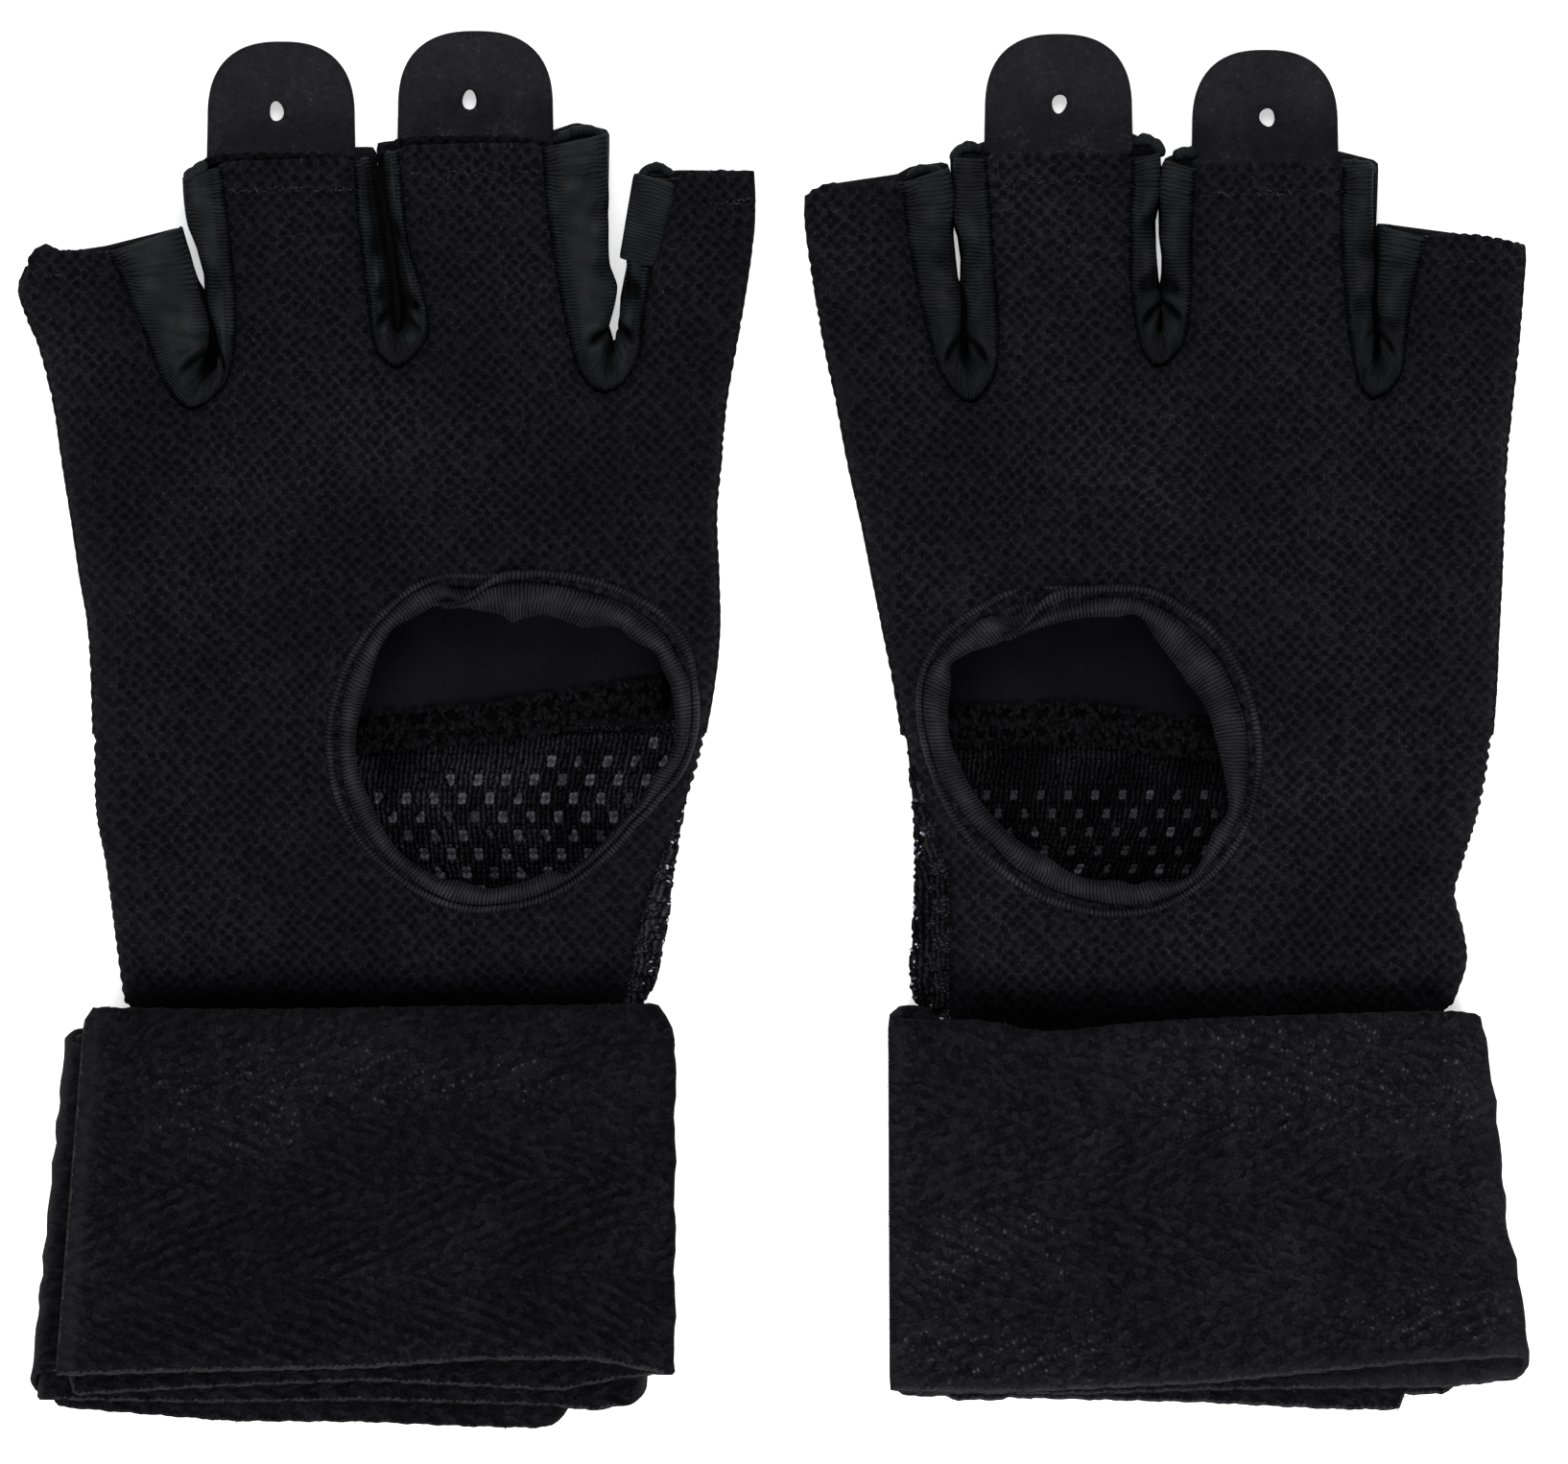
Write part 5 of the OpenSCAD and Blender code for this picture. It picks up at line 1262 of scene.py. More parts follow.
        # one more yarn behind the middle of each bundle
        T4, f4 = tube(at((cu + rg.uniform(-0.02, 0.02) + 0.0 * t) / cols, base + cv * b + t * 0.3 * b * g["net"]["size"], 0.24 + 0.14 * (1 - t * t)), np.array([0.22, 0.34, 0.22]) * g["net"]["size"], 5)
        H.add(T4, f4, mat=3)
    # closed edges of the spacer mesh, with a raw knitted border
    for e in (0.0, 1.0):
        yy = np.linspace(-78, 1.4, 160)
        p = at(np.full(160, e), yy, np.zeros(160))
        V, F = tube(p, 0.8 + 0.12 * np.sin(yy * 3.1), 8)
        H.add(V, F, mat=0)
    o = H.make(n + "_back_mesh_net", M_NET[n], M_CORE, M_PALE, M_DIM)
    finish_piece(o, n + "_glove", "spacer_mesh", n + "_back_mesh")
    return at, lens.mean()


def build_seams(g, at, width):
    n = g["side"]
    rg = np.random.default_rng(3)
    # overlocked join of lining and mesh: a near-black band, partly painted shade for the holes between the loops,
    # covered with loose loops of thread
    H = Heap()
    sx, sy = (np.array(q, float) for q in zip(*g["net"]["seam"]))
    xl, xr = np.interp(0, g["L"][:, 1], g["L"][:, 0]) + 5, np.interp(0, g["R"][:, 1], g["R"][:, 0]) - 5
    nu, nv = 120, 11
    uu, vv = np.meshgrid(np.linspace(xl, xr, nu), np.linspace(0, 1, nv), indexing="ij")
    top = np.interp(uu, sx, sy)
    V = np.c_[uu.ravel(), (top - 4.7 * vv + 0.2 * np.sin(uu * 2.1)).ravel(), (5.45 - 0.55 * (2 * vv - 1) ** 4 + 0.07 * np.sin(uu * 3.3 + vv * 5) - 0.35 * smooth(0.6, 1.0, vv)).ravel()]
    F = grid(nu, nv)
    if normals(V, F)[:, 2].mean() < 0:
        F = F[:, ::-1]
    W, faces, src = thick(V, F, 0.5)
    H.add(W, faces, mat=1)
    t = np.linspace(-1, 1, 6)
    for _ in range(1700):
        x, d = rg.uniform(xl + 0.5, xr - 0.5), rg.uniform(-0.2, 4.9)
        # two rows of needle holes, where loops are left out so the black band shows as painted shade, between which the
        # loops are thick
        hole1 = abs(d - 0.95) < 0.75 and (x / 2.5 + 0.12 * np.sin(x)) % 1 < 0.58
        hole2 = abs(d - 3.5) < 0.6 and (x / 2.1 + 0.3 + 0.12 * np.sin(1.3 * x)) % 1 < 0.5
        if (hole1 or hole2) and rg.random() < 0.93:
            continue
        ang, ln, bow = rg.normal(np.pi / 2, 0.6), rg.uniform(0.25, 0.55), rg.uniform(-0.25, 0.25)
        px = x + np.cos(ang) * ln * t - np.sin(ang) * bow * (1 - t * t)
        py = np.interp(x, sx, sy) - d + np.sin(ang) * ln * t + np.cos(ang) * bow * (1 - t * t)
        pz = 5.40 + 0.30 * (1 - t * t) + rg.uniform(0, 0.25) - 0.4 * smooth(3.2, 4.8, d)
        V, F = tube(np.c_[px, py, pz], rg.uniform(0.20, 0.36) * np.sqrt(1.05 - t * t * 0.8), 5)
        H.add(V, F, mat=0 if rg.random() < 0.55 else 2)
    o = H.make(n + "_back_seam_thread", M_SEAM, M_SEAM_HOLE_SHADE, M_LOOPY)
    finish_piece(o, n + "_glove", "seam_tape", n + "_back_seam")
    # side seams: cloth edges whipped together with thread
    for which, L, PL in (("left", g["L"], g["PL"]), ("right", g["R"], g["PR"])):
        H = Heap()
        sg = -1 if which == "left" else 1
        y = np.arange(-77, min(L[-1, 1], PL[-1, 1]) - 1.5, 0.5)
        x = np.interp(y, L[:, 1], L[:, 0])
        core = np.c_[x - sg * 1.05, y, 5.55 + 0.15 * np.sin(y / 2.1)]
        V, F = tube(core, 0.72, 8)
        H.add(V, F)
        yy = np.arange(-76.5, y[-1] - 0.5, 0.55)
        pts = []
        for i, t in enumerate(yy):
            xx = np.interp(t, L[:, 1], L[:, 0])
            ph = i * np.pi / 2
            pts.append((xx - sg * (1.05 - 0.75 * max(np.sin(ph), -0.4)), t, 5.55 + 0.95 * np.cos(ph)))
        p = spline(np.array(pts), 0.42)
        V, F = tube(p, 0.2, 5)
        H.add(V, F)
        side = "little" if which == g["little"] else "thumb"
        if side == "thumb":
            # cut ends of the pale spacer yarns, caught in the seam where the mesh shows past the palm
            t = np.linspace(-1, 1, 3)
            for _ in range(46):
                yc, into, ang, ln = rg.uniform(-38.5, -8.5), rg.uniform(0.25, 2.0), rg.uniform(0, np.pi), rg.uniform(0.12, 0.34)
                p = np.c_[np.interp(yc, L[:, 1], L[:, 0]) - sg * into + np.cos(ang) * ln * t, yc + np.sin(ang) * ln * t, 6.45 - 0.25 * abs(into - 1.05) + 0.08 * (1 - t * t)]
                V, F = tube(p, np.array([0.10, 0.17, 0.10]) * rg.uniform(0.7, 1.5), 5)
                # Most ends take the lit copy of the yarn colour, a painted highlight.
                H.add(V, F, mat=1 if rg.random() < 0.6 else 2)
        o = H.make(f"{n}_{side}_side_seam_thread", M_SEAM, M_LIT, M_PALE)
        finish_piece(o, n + "_glove", "seam_tape", f"{n}_{side}_side_seam")
    # ribbon bound over the raw wrist edge
    lo, hi = (np.array(c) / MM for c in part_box(n + "_cuff_binding"))
    yc = (lo[1] + hi[1]) / 2
    yc = max(yc, -77.0)
    xl, xr = np.interp(-77, g["PL"][:, 1], g["PL"][:, 0]), np.interp(-77, g["PR"][:, 1], g["PR"][:, 0])
    xa, xb = np.interp(-77, g["L"][:, 1], g["L"][:, 0]), np.interp(-77, g["R"][:, 1], g["R"][:, 0])
    path = spline([(xl + 8, 11.0), ((xl + xr) / 2, 11.2), (xr - 8, 11.0), (xb - 2.2, 8.8), (xb - 1.4, 6.0), (xb - 5, 3.9), ((xa + xb) / 2, 3.65), (xa + 5, 3.9), (xa + 1.4, 6.0), (xa + 2.2, 8.8)], n=301, closed=True)
    d = np.roll(path, -1, 0) - np.roll(path, 1, 0)
    d /= np.linalg.norm(d, axis=1)[:, None]
    nn = np.c_[-d[:, 1], d[:, 0]]
    s = arc(ring(path))[:-1]
    w = np.linspace(0, 2 * np.pi, 20, endpoint=False)
    ca, sa = np.cos(w), np.sin(w)
    py = 2.1 * np.sign(ca) * np.abs(ca) ** 0.6
    pr = 0.95 * np.sign(sa) * np.abs(sa) ** 0.5
    V = np.stack([np.c_[path[:, 0] + nn[:, 0] * r, np.full(300, yc + q) + 0.12 * np.sin(s / 2.3), path[:, 1] + nn[:, 1] * r] for q, r in zip(py, pr)], 1).reshape(-1, 3)
    A = np.stack([np.c_[s, np.full(300, x), np.full(300, 0.8)] for x in w * 1.4], 1).reshape(-1, 3)
    a = np.arange(300 * 20).reshape(300, 20)
    b = np.roll(a, -1, 0)
    F = np.stack([a, b, np.roll(b, -1, 1), np.roll(a, -1, 1)], -1).reshape(-1, 4)
    H = Heap()
    H.add(V, outward(V, F), A)
    o = H.make(n + "_cuff_binding_ribbon", M_RIB[n])
    finish_piece(o, n + "_glove", "seam_tape", n + "_cuff_binding")


# ------------------------------------------------------------------ pull tabs
TABS = {
    "right_ring": (-64.9, 19.2, 77.0, 90.6, (-65.5, 81.5)),
    "right_middle": (-39.2, 20.2, 79.0, 92.0, (-40.0, 83.0)),
    "left_middle": (37.9, 19.2, 78.2, 91.6, (38.0, 82.5)),
    "left_ring": (65.2, 19.0, 76.0, 89.5, (65.5, 80.7)),
}


def build_tab(name):
    cx, w, fold, top, hole = TABS[name]
    h = 10.0
    a = np.linspace(0, np.pi, 70)
    e = 2 / 2.5
    cap = np.c_[cx + w / 2 * np.sign(np.cos(a)) * np.abs(np.cos(a)) ** e, top - h + h * np.abs(np.sin(a)) ** e]
    rw = 7.0
    low = [(cx - w / 2 - 0.1, fold - 2.2), (cx - w / 2 + 1.2, fold - 3.2), (cx - rw, fold - 4), (cx - rw, fold - 8.6), (cx - rw + 0.6, fold - 9), (cx + rw - 0.6, fold - 9), (cx + rw, fold - 8.6), (cx + rw, fold - 4), (cx + w / 2 - 1.2, fold - 3.2), (cx + w / 2 + 0.1, fold - 2.2)]
    out = even(np.vstack([cap, low]), 0.4, closed=True)
    w_ = np.linspace(0, 2 * np.pi, 44, endpoint=False)
    ho = np.array(hole) + np.c_[1.10 * np.cos(w_), 1.38 * np.sin(w_)] * (1 + 0.05 * np.sin(2 * w_ + cx) + 0.04 * np.sin(3 * w_ + 2 * cx))[:, None]
    P, F = panel([out, ho], 0.8)
    x = (P[:, 0] - cx) / (w / 2)
    v = (P[:, 1] - fold) / (top - fold)
    z = 1.55 + 0.30 * x ** 2 * smooth(0, 0.8, v) + 0.25 * smooth(0.2, 1.0, v) + 0.05 * waves(P, 11, 61)
    V = np.c_[P, z]
    H = Heap()
    W, faces, src = thick(V, F, 0.95, up=0.5, bulge=0.16)
    # The third coordinate grows towards the hem and lightens the tab there: painted light.
    H.add(W, faces, flat_of(np.c_[P, np.exp(-np.clip(P[:, 1] - fold + 2.5, 0, None) / 4.5)], src))
    o = H.make(name + "_tab_sheet", M_TAB)
    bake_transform(o)
    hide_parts(name + "_tab", name + "_tab_root")
    area_of(V, F) * 1e-6


# ------------------------------------------------------------------ wound wrist tape
T_TAPE = 0.85
WRAPS = {
    "right": dict(
        L1=dict(corner=2.4, nip=0.9, lt=(-90.2, -37.4), rt=(-14.6, -36.9), rb=(-14.2, -84.9), lb=(-94, -85.0),
                top=[(-91, -37.2), (-70, -37.5), (-40, -37.1), (-14, -36.9)], bot=[(-95, -85.1), (-78.3, -84.6), (-53.7, -84.1), (-38.7, -83.0), (-23.5, -83.0), (-15.4, -84.6), (-13, -85.1)]),
        L2=dict(corner=2.4, lt=(-90.2, -42.0), rt=(-14.6, -36.6), rb=(-15.6, -85.6), lb=(-94.8, -87.4),
                top=[(-98, -42.6), (-60, -40.0), (-30, -37.4), (-12, -36.6)], bot=[(-99, -84.6), (-92.6, -84.6), (-91.8, -87.7), (-75, -86.7), (-53.7, -85.8), (-27.9, -87.1), (-19.4, -85.4), (-13, -84.8)]),
        B1=dict(corner=3.2, lt=(-90.4, -40.4), rt=(-15.8, -37.6), rb=(-19.2, -85.4), lb=(-94.8, -88)),
        L3=dict(corner=3.2, lt=(-90.6, -42.2), rt=(-15.8, -36.8), rb=(-20.4, -87.5), lb=(-94.6, -88.3),
                top=[(-96, -42.4), (-40, -38.6), (-13, -36.8)], bot=[(-99, -88.2), (-75, -88.7), (-53.7, -88.4), (-29.4, -89.1), (-23.5, -89.7), (-19, -88.9), (-15, -87)]),
        B2=dict(corner=3.0, lt=(-90.6, -40.2), rt=(-16, -38.2), rb=(-20.6, -87.6), lb=(-94.4, -88.6)),
        L4=dict(corner=3.0, lt=(-90.4, -41), rt=(-16.6, -38.4), rb=(-21, -88), lb=(-93.4, -89.2),
                top=[(-96, -41), (-40, -39.4), (-13, -38)], bot=[(-96, -89), (-89.8, -89.6), (-71.5, -91.1), (-53.7, -91.2), (-40, -91.8), (-31.5, -92), (-29, -91.7), (-28, -91), (-27.4, -89.6), (-26, -88.4), (-14, -87.6)]),
        B3=dict(lt=(-90.4, -41), rt=(-30, -39), rb=(-30, -87), lb=(-93, -88)),
    ),
    "left": dict(
        L1=dict(lt=(15.7, -37.7), rt=(91.6, -38), rb=(98.1, -82.6), lb=(15.9, -87.1),
                top=[(15, -37.6), (17.7, -38.9), (27.5, -39), (36.1, -40.4), (46.9, -39.4), (57.7, -38.7), (75, -38.1), (90.4, -37.8), (94, -38.6)], bot=[(15, -87), (32.2, -87.2), (57.7, -86), (83.5, -83.5), (100, -82.4)],
                edge=[(-38, 91.6), (-41, 92.1), (-50, 93.5), (-60.3, 94.5), (-66.8, 95.0), (-71.9, 96.6), (-74.3, 96.6), (-78, 97.6), (-83, 98.1)]),
        L2=dict(lt=(18.6, -38), rt=(91.6, -38.2), rb=(97.4, -85), lb=(18.8, -87.4),
                top=[(14, -38), (22, -39.3), (36, -41.2), (60, -39.5), (95, -38.4)], bot=[(14, -87.3), (40, -87.6), (57.7, -87), (88.9, -86.6), (100, -85)],
                edge=[(-38, 91.6), (-41, 92.1), (-50, 93.5), (-60.3, 94.5), (-66.8, 95.0), (-71.9, 96.6), (-74.3, 96.6), (-78, 97.4), (-85, 97.4)]),
        B1=dict(lt=(18.6, -37.4), rt=(90.4, -38.6), rb=(95.8, -85.2), lb=(18.8, -86.8)),
        L3=dict(lt=(18.8, -36.9), rt=(90.2, -38.4), rb=(95.4, -85.6), lb=(18.9, -87.8),
                top=[(14, -36.8), (20, -37.3), (23.5, -39.4), (36, -41.4), (52, -40.2), (95, -38.8)], bot=[(14, -87.8), (23.4, -87.8), (24, -88.3), (30.2, -88.3), (31, -88), (56.4, -88.6), (73.9, -89.5), (82.5, -89.6), (82.9, -87.6), (88.8, -87.5), (89.2, -86.6), (100, -85.4)]),
        B2=dict(lt=(18.9, -38), rt=(90, -39), rb=(95, -86), lb=(19, -87)),
        L4=dict(lt=(19, -38.4), rt=(89.8, -39.4), rb=(94.4, -85.4), lb=(19.1, -87.6),
                top=[(14, -39), (36, -41.6), (95, -39.8)], bot=[(14, -87.6), (60, -88), (81.8, -88.8), (82.2, -86.6), (100, -85)]),
        B3=dict(lt=(19.2, -39), rt=(80, -40), rb=(80, -86), lb=(19.2, -86.6)),
    ),
}
LEVEL = {"L1": 17.35, "L2": 14.95, "L3": 14.03, "L4": 13.1, "B1": 0.45, "B2": 1.34, "B3": 2.2}
NV = 34


def tape_run(r, z, n, seed, amp):
    """One flat stretch of the tape from its left to its right end: (stations, width, xyz)."""
    s = np.linspace(0, 1, n)[:, None]
    lt, rt, rb, lb = (np.array(r[k], float) for k in ("lt", "rt", "rb", "lb"))
    T, B = lt + (rt - lt) * s, lb + (rb - lb) * s
    if "top" in r:
        c = even(spline(r["top"], 0.3), 0.3)
        T[:, 1] = np.interp(T[:, 0], c[:, 0], c[:, 1])
    if "bot" in r:
        c = np.array(r["bot"], float)
        B[:, 1] = np.interp(B[:, 0], c[:, 0], c[:, 1])
    B[:, 1] += 0.05 * np.sin(B[:, 0] * 2 * np.pi / 1.7 + 2 * np.sin(B[:, 0] / 3)) + 0.07 * np.sin(B[:, 0] * 2 * np.pi / 4.3)
    T[:, 1] += 0.05 * np.sin(T[:, 0] * 2 * np.pi / 1.7 + 2 * np.sin(T[:, 0] / 3)) + 0.07 * np.sin(T[:, 0] * 2 * np.pi / 3.7)
    v = np.linspace(0, 1, NV)[None, :, None]
    G = T[:, None] * (1 - v) + B[:, None] * v
    if "edge" in r:
        e = np.array(sorted(r["edge"]), float)
        bulge = np.interp(G[-1, :, 1], e[:, 0], e[:, 1]) - G[-1, :, 0]
        G[:, :, 0] += bulge[None] * s ** 1.5
    # a corner that is not square: cut back at the top of the right and the left end
    G[:, :, 0] -= r.get("corner", 0.0) * np.clip(1 - v[..., 0] / 0.10, 0, 1) ** 2 * s ** 10
    G[:, :, 0] += r.get("nip", 0.0) * np.clip(1 - v[..., 0] / 0.05, 0, 1) ** 2 * (1 - s) ** 30
    Z = z + amp * waves(G, 26, seed) * np.sin(np.pi * np.clip(s, 0, 1)) ** 0.3 + 0.3 * amp * waves(G, 8, seed + 1)
    return np.dstack([G, np.broadcast_to(Z[..., None] if Z.ndim == 2 else Z, G.shape[:2] + (1,))])


def fold_between(A, B, side, bulge, n, power=0.62):
    """The turn from one end line of the tape to the next."""
    w = np.linspace(0, np.pi, n + 2)[1:-1]
    rough = 0.14 * np.sin(A[:, 1] * 2 * np.pi / 1.7) + 0.07 * np.sin(A[:, 1] * 2 * np.pi / 4.1 + 1)
    out = []
    for q in w:
        t = (1 - np.cos(q)) / 2
        c = A * (1 - t) + B * t
        c = c.copy()
        c[:, 0] += side * (bulge * np.sin(q) ** power + rough * np.sin(q))
        out.append(c)
    return np.array(out)


def tape_sheet(H, G, u0=0.0, t=T_TAPE, painted_highlight=None):
    """Closed tape with thickness from stations of points, and its flat position for the weave, with a painted highlight
    as the third coordinate.
    """
    n = len(G)
    mid = G[:, NV // 2]
    u = u0 + arc(mid)
    wid = np.linalg.norm(np.diff(G, axis=1), axis=2).sum(1).mean()
    V = G.reshape(-1, 3)
    A = np.c_[np.repeat(u, NV), np.tile(np.linspace(0, wid, NV), n), np.zeros(n * NV) if painted_highlight is None else painted_highlight.ravel()]
    F = grid(n, NV)
    W, faces, src = thick(V, F, t)
    H.add(W, faces, flat_of(A, src))
    return u[-1], wid, V, F


def selvedge(H, E, seed, r=0.2, mat=1, fibres=2.4):
    """The thick woven edge of the tape: a cord along it, and loose fibres."""
    rg = np.random.default_rng(seed)
    P = even(E, 0.21)
    s = arc(P)
    d = np.gradient(P, axis=0)
    d /= np.linalg.norm(d, axis=1)[:, None]
    side = np.c_[-d[:, 1], d[:, 0], 0 * s]
    f = 2 * np.pi * (s / 0.95 + 0.5 * np.sin(s / 3.1 + rg.uniform(0, 6)))
    Q = P + side * (0.05 * np.sin(f))[:, None] + np.c_[0 * s, 0 * s, 0.16 + 0.05 * np.cos(f)]
    T, F = tube(Q, r * (0.9 + 0.22 * np.sin(s * 1.7 + seed) * np.sin(s * 0.63) + 0.08 * np.sin(f)), 6)
    H.add(T, F, mat=mat)
    t = np.linspace(0, 1, 4)[:, None]
    for _ in range(int(fibres * s[-1])):
        i = rg.integers(2, len(Q) - 2)
        v = d[i] * rg.normal(0, 1) + side[i] * rg.normal(0, 0.6) + np.array([0, 0, rg.uniform(0.1, 0.5)])
        v *= rg.uniform(0.3, 0.8) / np.linalg.norm(v)
        T, F = tube(Q[i] + v * t + np.c_[0 * t, 0 * t, -0.3 * t * t], rg.uniform(0.04, 0.08), 3)
        H.add(T, F, mat=mat)


def build_wrap(side):
    W = WRAPS[side]
    glove, end = side + "_glove", side + "_wrap_end"
    R = {k: tape_run(W[k], LEVEL[k], 108, 100 + i + (20 if side == "left" else 0), {"L1": 0.16, "L2": 0.10}.get(k, 0.05)) for i, k in enumerate(("L1", "L2", "B1", "L3", "B2", "L4", "B3"))}
    # the outer layer dips a little between the patches at its free end and the fold at its other end
    L1 = R["L1"]
    s = np.linspace(0, 1, len(L1))[:, None]
    lean = np.linspace(0, 1, NV)[None]
    L1[:, :, 2] = np.where(s < 0.5, np.maximum(L1[:, :, 2], LEVEL["L1"] - 0.02), L1[:, :, 2])
    L1[:, :, 2] -= 0.75 * smooth(0.42, 0.62, s) * smooth(1.0, 0.8, s)
    L1[:, :, 2] += 0.25 * smooth(0.8, 1.0, s) * lean
    L1[:, :, 2] -= 0.5 * (1 - smooth(0, 0.045, lean)) ** 2 + 0.3 * (1 - smooth(0, 0.02, s)) ** 2
    # outer layer and its fold, as one piece
    turn = fold_between(L1[-1], R["L2"][-1], 1, 1.55, 9, 0.8)
    flap = np.concatenate([L1, turn, R["L2"][-1:]])
    u = np.linspace(0, 80, len(flap))[:, None]
    free = 1.0 if side == "right" else 0.4
    # Painted highlight along the free end, the left glove's fold and the lower edge.
    painted_highlight = free * np.exp(-np.clip(u - 1.4, 0, None) / 0.9) * np.ones((1, NV)) + 0.6 * np.exp(-np.clip(72.6 - u, 0, None) / 1.5) * (side == "left") * np.clip(0.4 + lean * 2, 0, 1)
    painted_highlight = np.clip(painted_highlight + (1.0 if side == "left" else 0.45) * np.exp(-(1 - lean) * 50 / 1.3), 0, 1.3)
    H = Heap()
    ln, wd, V, F = tape_sheet(H, flap, painted_highlight=painted_highlight)
    selvedge(H, L1[:, -1], 400, 0.36)
    selvedge(H, L1[2:-2, 0], 401, 0.17, 2)
    selvedge(H, L1[0, 1:-1], 402, 0.28 if side == "right" else 0.17, 1 if side == "right" else 2)
    o = H.make(side + "_wrap_flap_tape", M_TAPE[side], M_EDGE, M_STITCH)
    if side == "right":
        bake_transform(o)
    else:
        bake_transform(o)
    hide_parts(side + "_wrap_flap")
    # the turns round the wrist
    parts = [R["L2"][::-1]]
    parts.append(fold_between(R["L2"][0], R["B1"][0], -1, 2.6, 18))
    parts.append(R["B1"])
    parts.append(fold_between(R["B1"][-1], R["L3"][-1], 1, 2.9, 18))
    parts.append(R["L3"][::-1])
    parts.append(fold_between(R["L3"][0], R["B2"][0], -1, 2.1, 18))
    parts.append(R["B2"])
    parts.append(fold_between(R["B2"][-1], R["L4"][-1], 1, 1.9, 18))
    parts.append(R["L4"][::-1])
    parts.append(fold_between(R["L4"][0], R["B3"][0], -1, 1.1, 18))
    parts.append(R["B3"])
    G = np.concatenate(parts)
    H = Heap()
    # painted highlight along the lower edge of the second layer at the fold of the left one
    painted_highlight = np.zeros(G.shape[:2])
    if side == "left":
        painted_highlight[:108] = 1.5 * np.exp(-(1 - lean) * 50 / 2.6) * smooth(58, 86, R["L2"][::-1, :, 0])
    ln, wd, V, F = tape_sheet(H, G, ln, painted_highlight=painted_highlight)
    for j, key in enumerate(("L2", "L3", "L4")):
        selvedge(H, R[key][:, -1], 410 + j, (0.32, 0.30, 0.20)[j], (1, 1, 2)[j])
        selvedge(H, R[key][2:-2, 0], 420 + j, 0.16, 2)
    o = H.make(side + "_wrap_coil_tape", M_TAPE[side], M_EDGE, M_STITCH)
    finish_piece(o, glove, "herringbone_tape", side + "_wrap_coil")
    round(arc(G[:, NV // 2])[-1] * MM, 4)
    return R


def build_patches(side):
    lo, hi = (np.array(c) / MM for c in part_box(side + "_loop_patch"))
    # brushed loops
    nu, nv = 64, 84
    uu, vv = np.meshgrid(np.linspace(lo[0] + 0.3, hi[0] - 0.3, nu), np.linspace(lo[1] + 0.3, hi[1] - 0.3, nv), indexing="ij")
    P = np.c_[uu.ravel(), vv.ravel()]
    d = np.minimum.reduce([P[:, 0] - lo[0], hi[0] - P[:, 0], P[:, 1] - lo[1], hi[1] - P[:, 1]])
    z = lo[2] + 0.42 + (0.14 * waves(P, 1.7, 301, 11) + 0.09 * waves(P, 0.9, 302, 9)) * smooth(0.4, 1.6, d) - 0.2 * (1 - smooth(0.3, 1.8, d))
    F = grid(nu, nv)
    V = np.c_[P, z]
    if normals(V, F)[:, 2].mean() < 0:
        F = F[:, ::-1]
    H = Heap()
    H2, faces, src = closed(V, np.c_[P, np.full(len(P), lo[2] + 0.06)], F, np.tile([0, 0, 1.0], (len(P), 1)), 0.12)
    H.add(H2, faces)
    o = H.make(side + "_loop_patch_pile", M_LOOP)
    finish_piece(o, side + "_glove", "loop", side + "_loop_patch")
    # hooks on their ground cloth, pointing down
    lo, hi = (np.array(c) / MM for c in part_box(side + "_hook_patch"))
    nu, nv = 29, 39
    uu, vv = np.meshgrid(np.linspace(lo[0] + 0.3, hi[0] - 0.3, nu), np.linspace(lo[1] + 0.3, hi[1] - 0.3, nv), indexing="ij")
    P = np.c_[uu.ravel(), vv.ravel()]
    V = np.c_[P, hi[2] - 0.12 + 0.02 * waves(P, 3, 5)]
    F = grid(nu, nv)
    if normals(V, F)[:, 2].mean() < 0:
        F = F[:, ::-1]
    H = Heap()
    W, faces, src = thick(V, F, 0.22)
    H.add(W, faces)
    w = np.linspace(0, 1, 5)
    for i, x in enumerate(np.arange(lo[0] + 1.4, hi[0] - 1.0, 1.3)):
        for j, y in enumerate(np.arange(lo[1] + 1.4, hi[1] - 1.0, 1.5)):
            b = 1 if i % 2 else -1
            p = np.c_[np.full(5, x), y + b * 0.32 * w ** 2.2, hi[2] - 0.2 - 0.36 * np.sin(w * 2.2)]
            T, faces = tube(p, 0.12 - 0.04 * w, 5)
            H.add(T, faces)
    o = H.make(side + "_hook_patch_hooks", M_HOOK)
    finish_piece(o, side + "_wrap_end", "hook", side + "_hook_patch")


# ------------------------------------------------------------------ build
for g in (RIGHT, LEFT):
    prepare(g)
    build_palm(g)
    build_binding(g)
    build_fourchettes(g)
    build_back(g)
    build_padding(g)
    at, width = build_mesh(g)
    build_seams(g, at, width)
    build_wrap(g["side"])
    build_patches(g["side"])
for name in TABS:
    build_tab(name)

# ------------------------------------------------------------------ floor, light, camera
scene = bpy.context.scene
scene.view_settings.view_transform = "Standard"
scene.view_settings.look = "None"


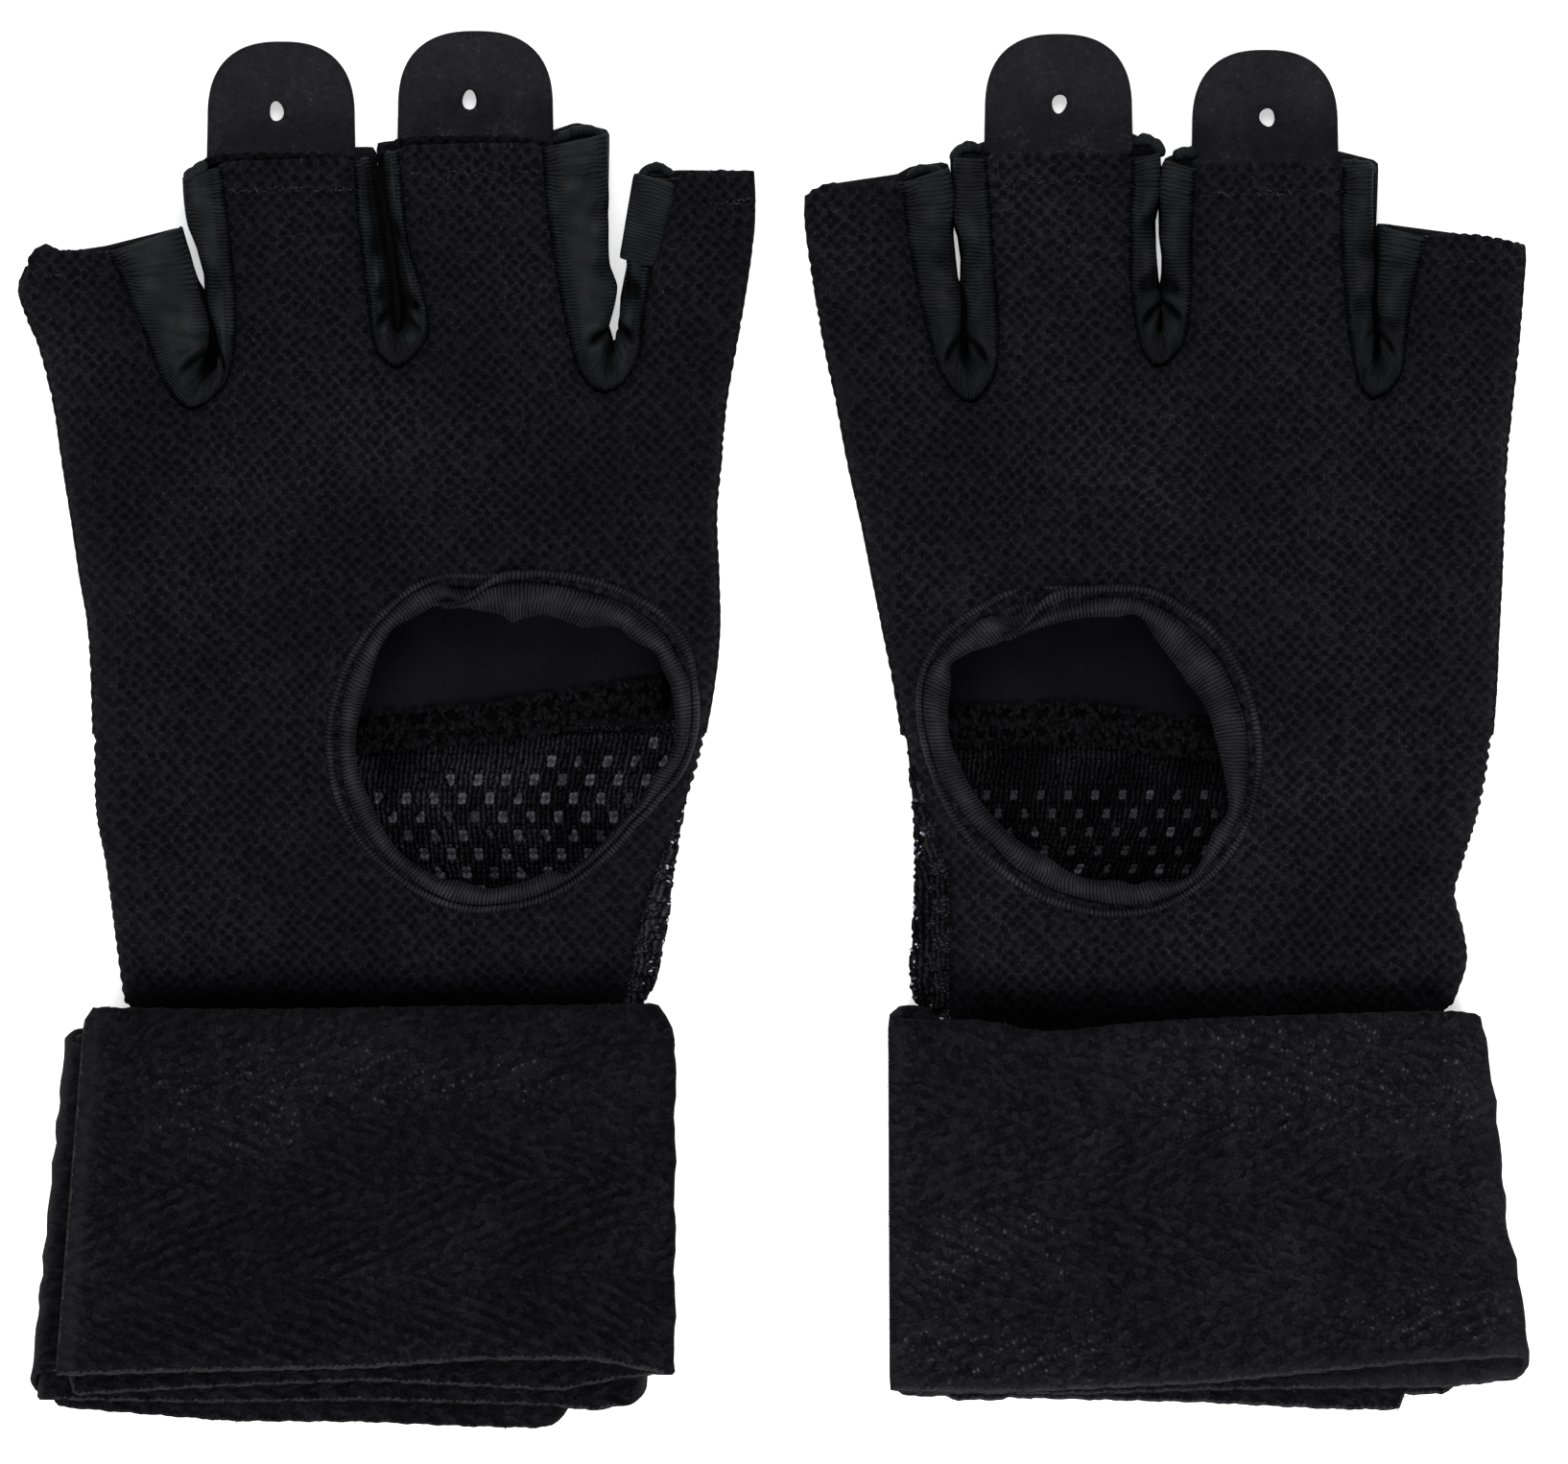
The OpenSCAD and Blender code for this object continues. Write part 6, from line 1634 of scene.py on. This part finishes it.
def floor():
    me = bpy.data.meshes.new("floor")
    k = 3.0
    me.from_pydata([(-k, -k, -0.0002), (k, -k, -0.0002), (k, k, -0.0002), (-k, k, -0.0002)], [], [(0, 1, 2, 3)])
    o = bpy.data.objects.new("floor", me)
    scene.collection.objects.link(o)
    m = bpy.data.materials.new("floor_paper")
    m.use_nodes = True
    t = m.node_tree
    b = next(n for n in t.nodes if n.type == "BSDF_PRINCIPLED")
    b.inputs["Roughness"].default_value = 0.9
    b.inputs["Specular IOR Level"].default_value = 0.05
    # lit a little from below, like a light table
    b.inputs["Emission Color"].default_value = (1, 1, 1, 1)
    b.inputs["Emission Strength"].default_value = 0.45
    nz = t.nodes.new("ShaderNodeTexNoise")
    nz.inputs["Scale"].default_value = 4.0
    r = t.nodes.new("ShaderNodeValToRGB")
    r.color_ramp.elements[0].color = (0.86, 0.86, 0.865, 1)
    r.color_ramp.elements[1].color = (0.89, 0.89, 0.89, 1)
    t.links.new(nz.outputs[0], r.inputs[0])
    t.links.new(r.outputs[0], b.inputs["Base Color"])
    me.materials.append(m)


floor()
world = bpy.data.worlds.new("studio")
scene.world = world
world.use_nodes = True
bg = world.node_tree.nodes["Background"]
bg.inputs["Color"].default_value = (1, 1, 1, 1)
bg.inputs["Strength"].default_value = 0.62


def area(name, at, aim, size, watts):
    l = bpy.data.lights.new(name, "AREA")
    l.shape = "SQUARE"
    l.size = size
    l.energy = watts
    o = bpy.data.objects.new(name, l)
    o.location = at
    o.rotation_mode = "QUATERNION"
    o.rotation_quaternion = (Vector(aim) - Vector(at)).to_track_quat("-Z", "Y")
    scene.collection.objects.link(o)


area("key_left", (-0.72, -0.78, 0.85), (0, 0, 0), 0.55, 12.5)
area("key_right", (0.72, -0.78, 0.85), (0, 0, 0), 0.55, 12.5)
area("top", (0.0, 0.95, 1.1), (0, 0, 0), 0.8, 15.0)

cam = bpy.data.cameras.new("camera")
cam.sensor_width = 36.0
cam.lens = 700.0
wide = 1634 / 7.9 * MM
co = bpy.data.objects.new("camera", cam)
co.location = (1.6 * MM, -0.6 * MM, 0.012 + wide * cam.lens / cam.sensor_width)
co.rotation_euler = (0, 0, 0)
cam.clip_start, cam.clip_end = 0.01, 20
scene.collection.objects.link(co)
scene.camera = co
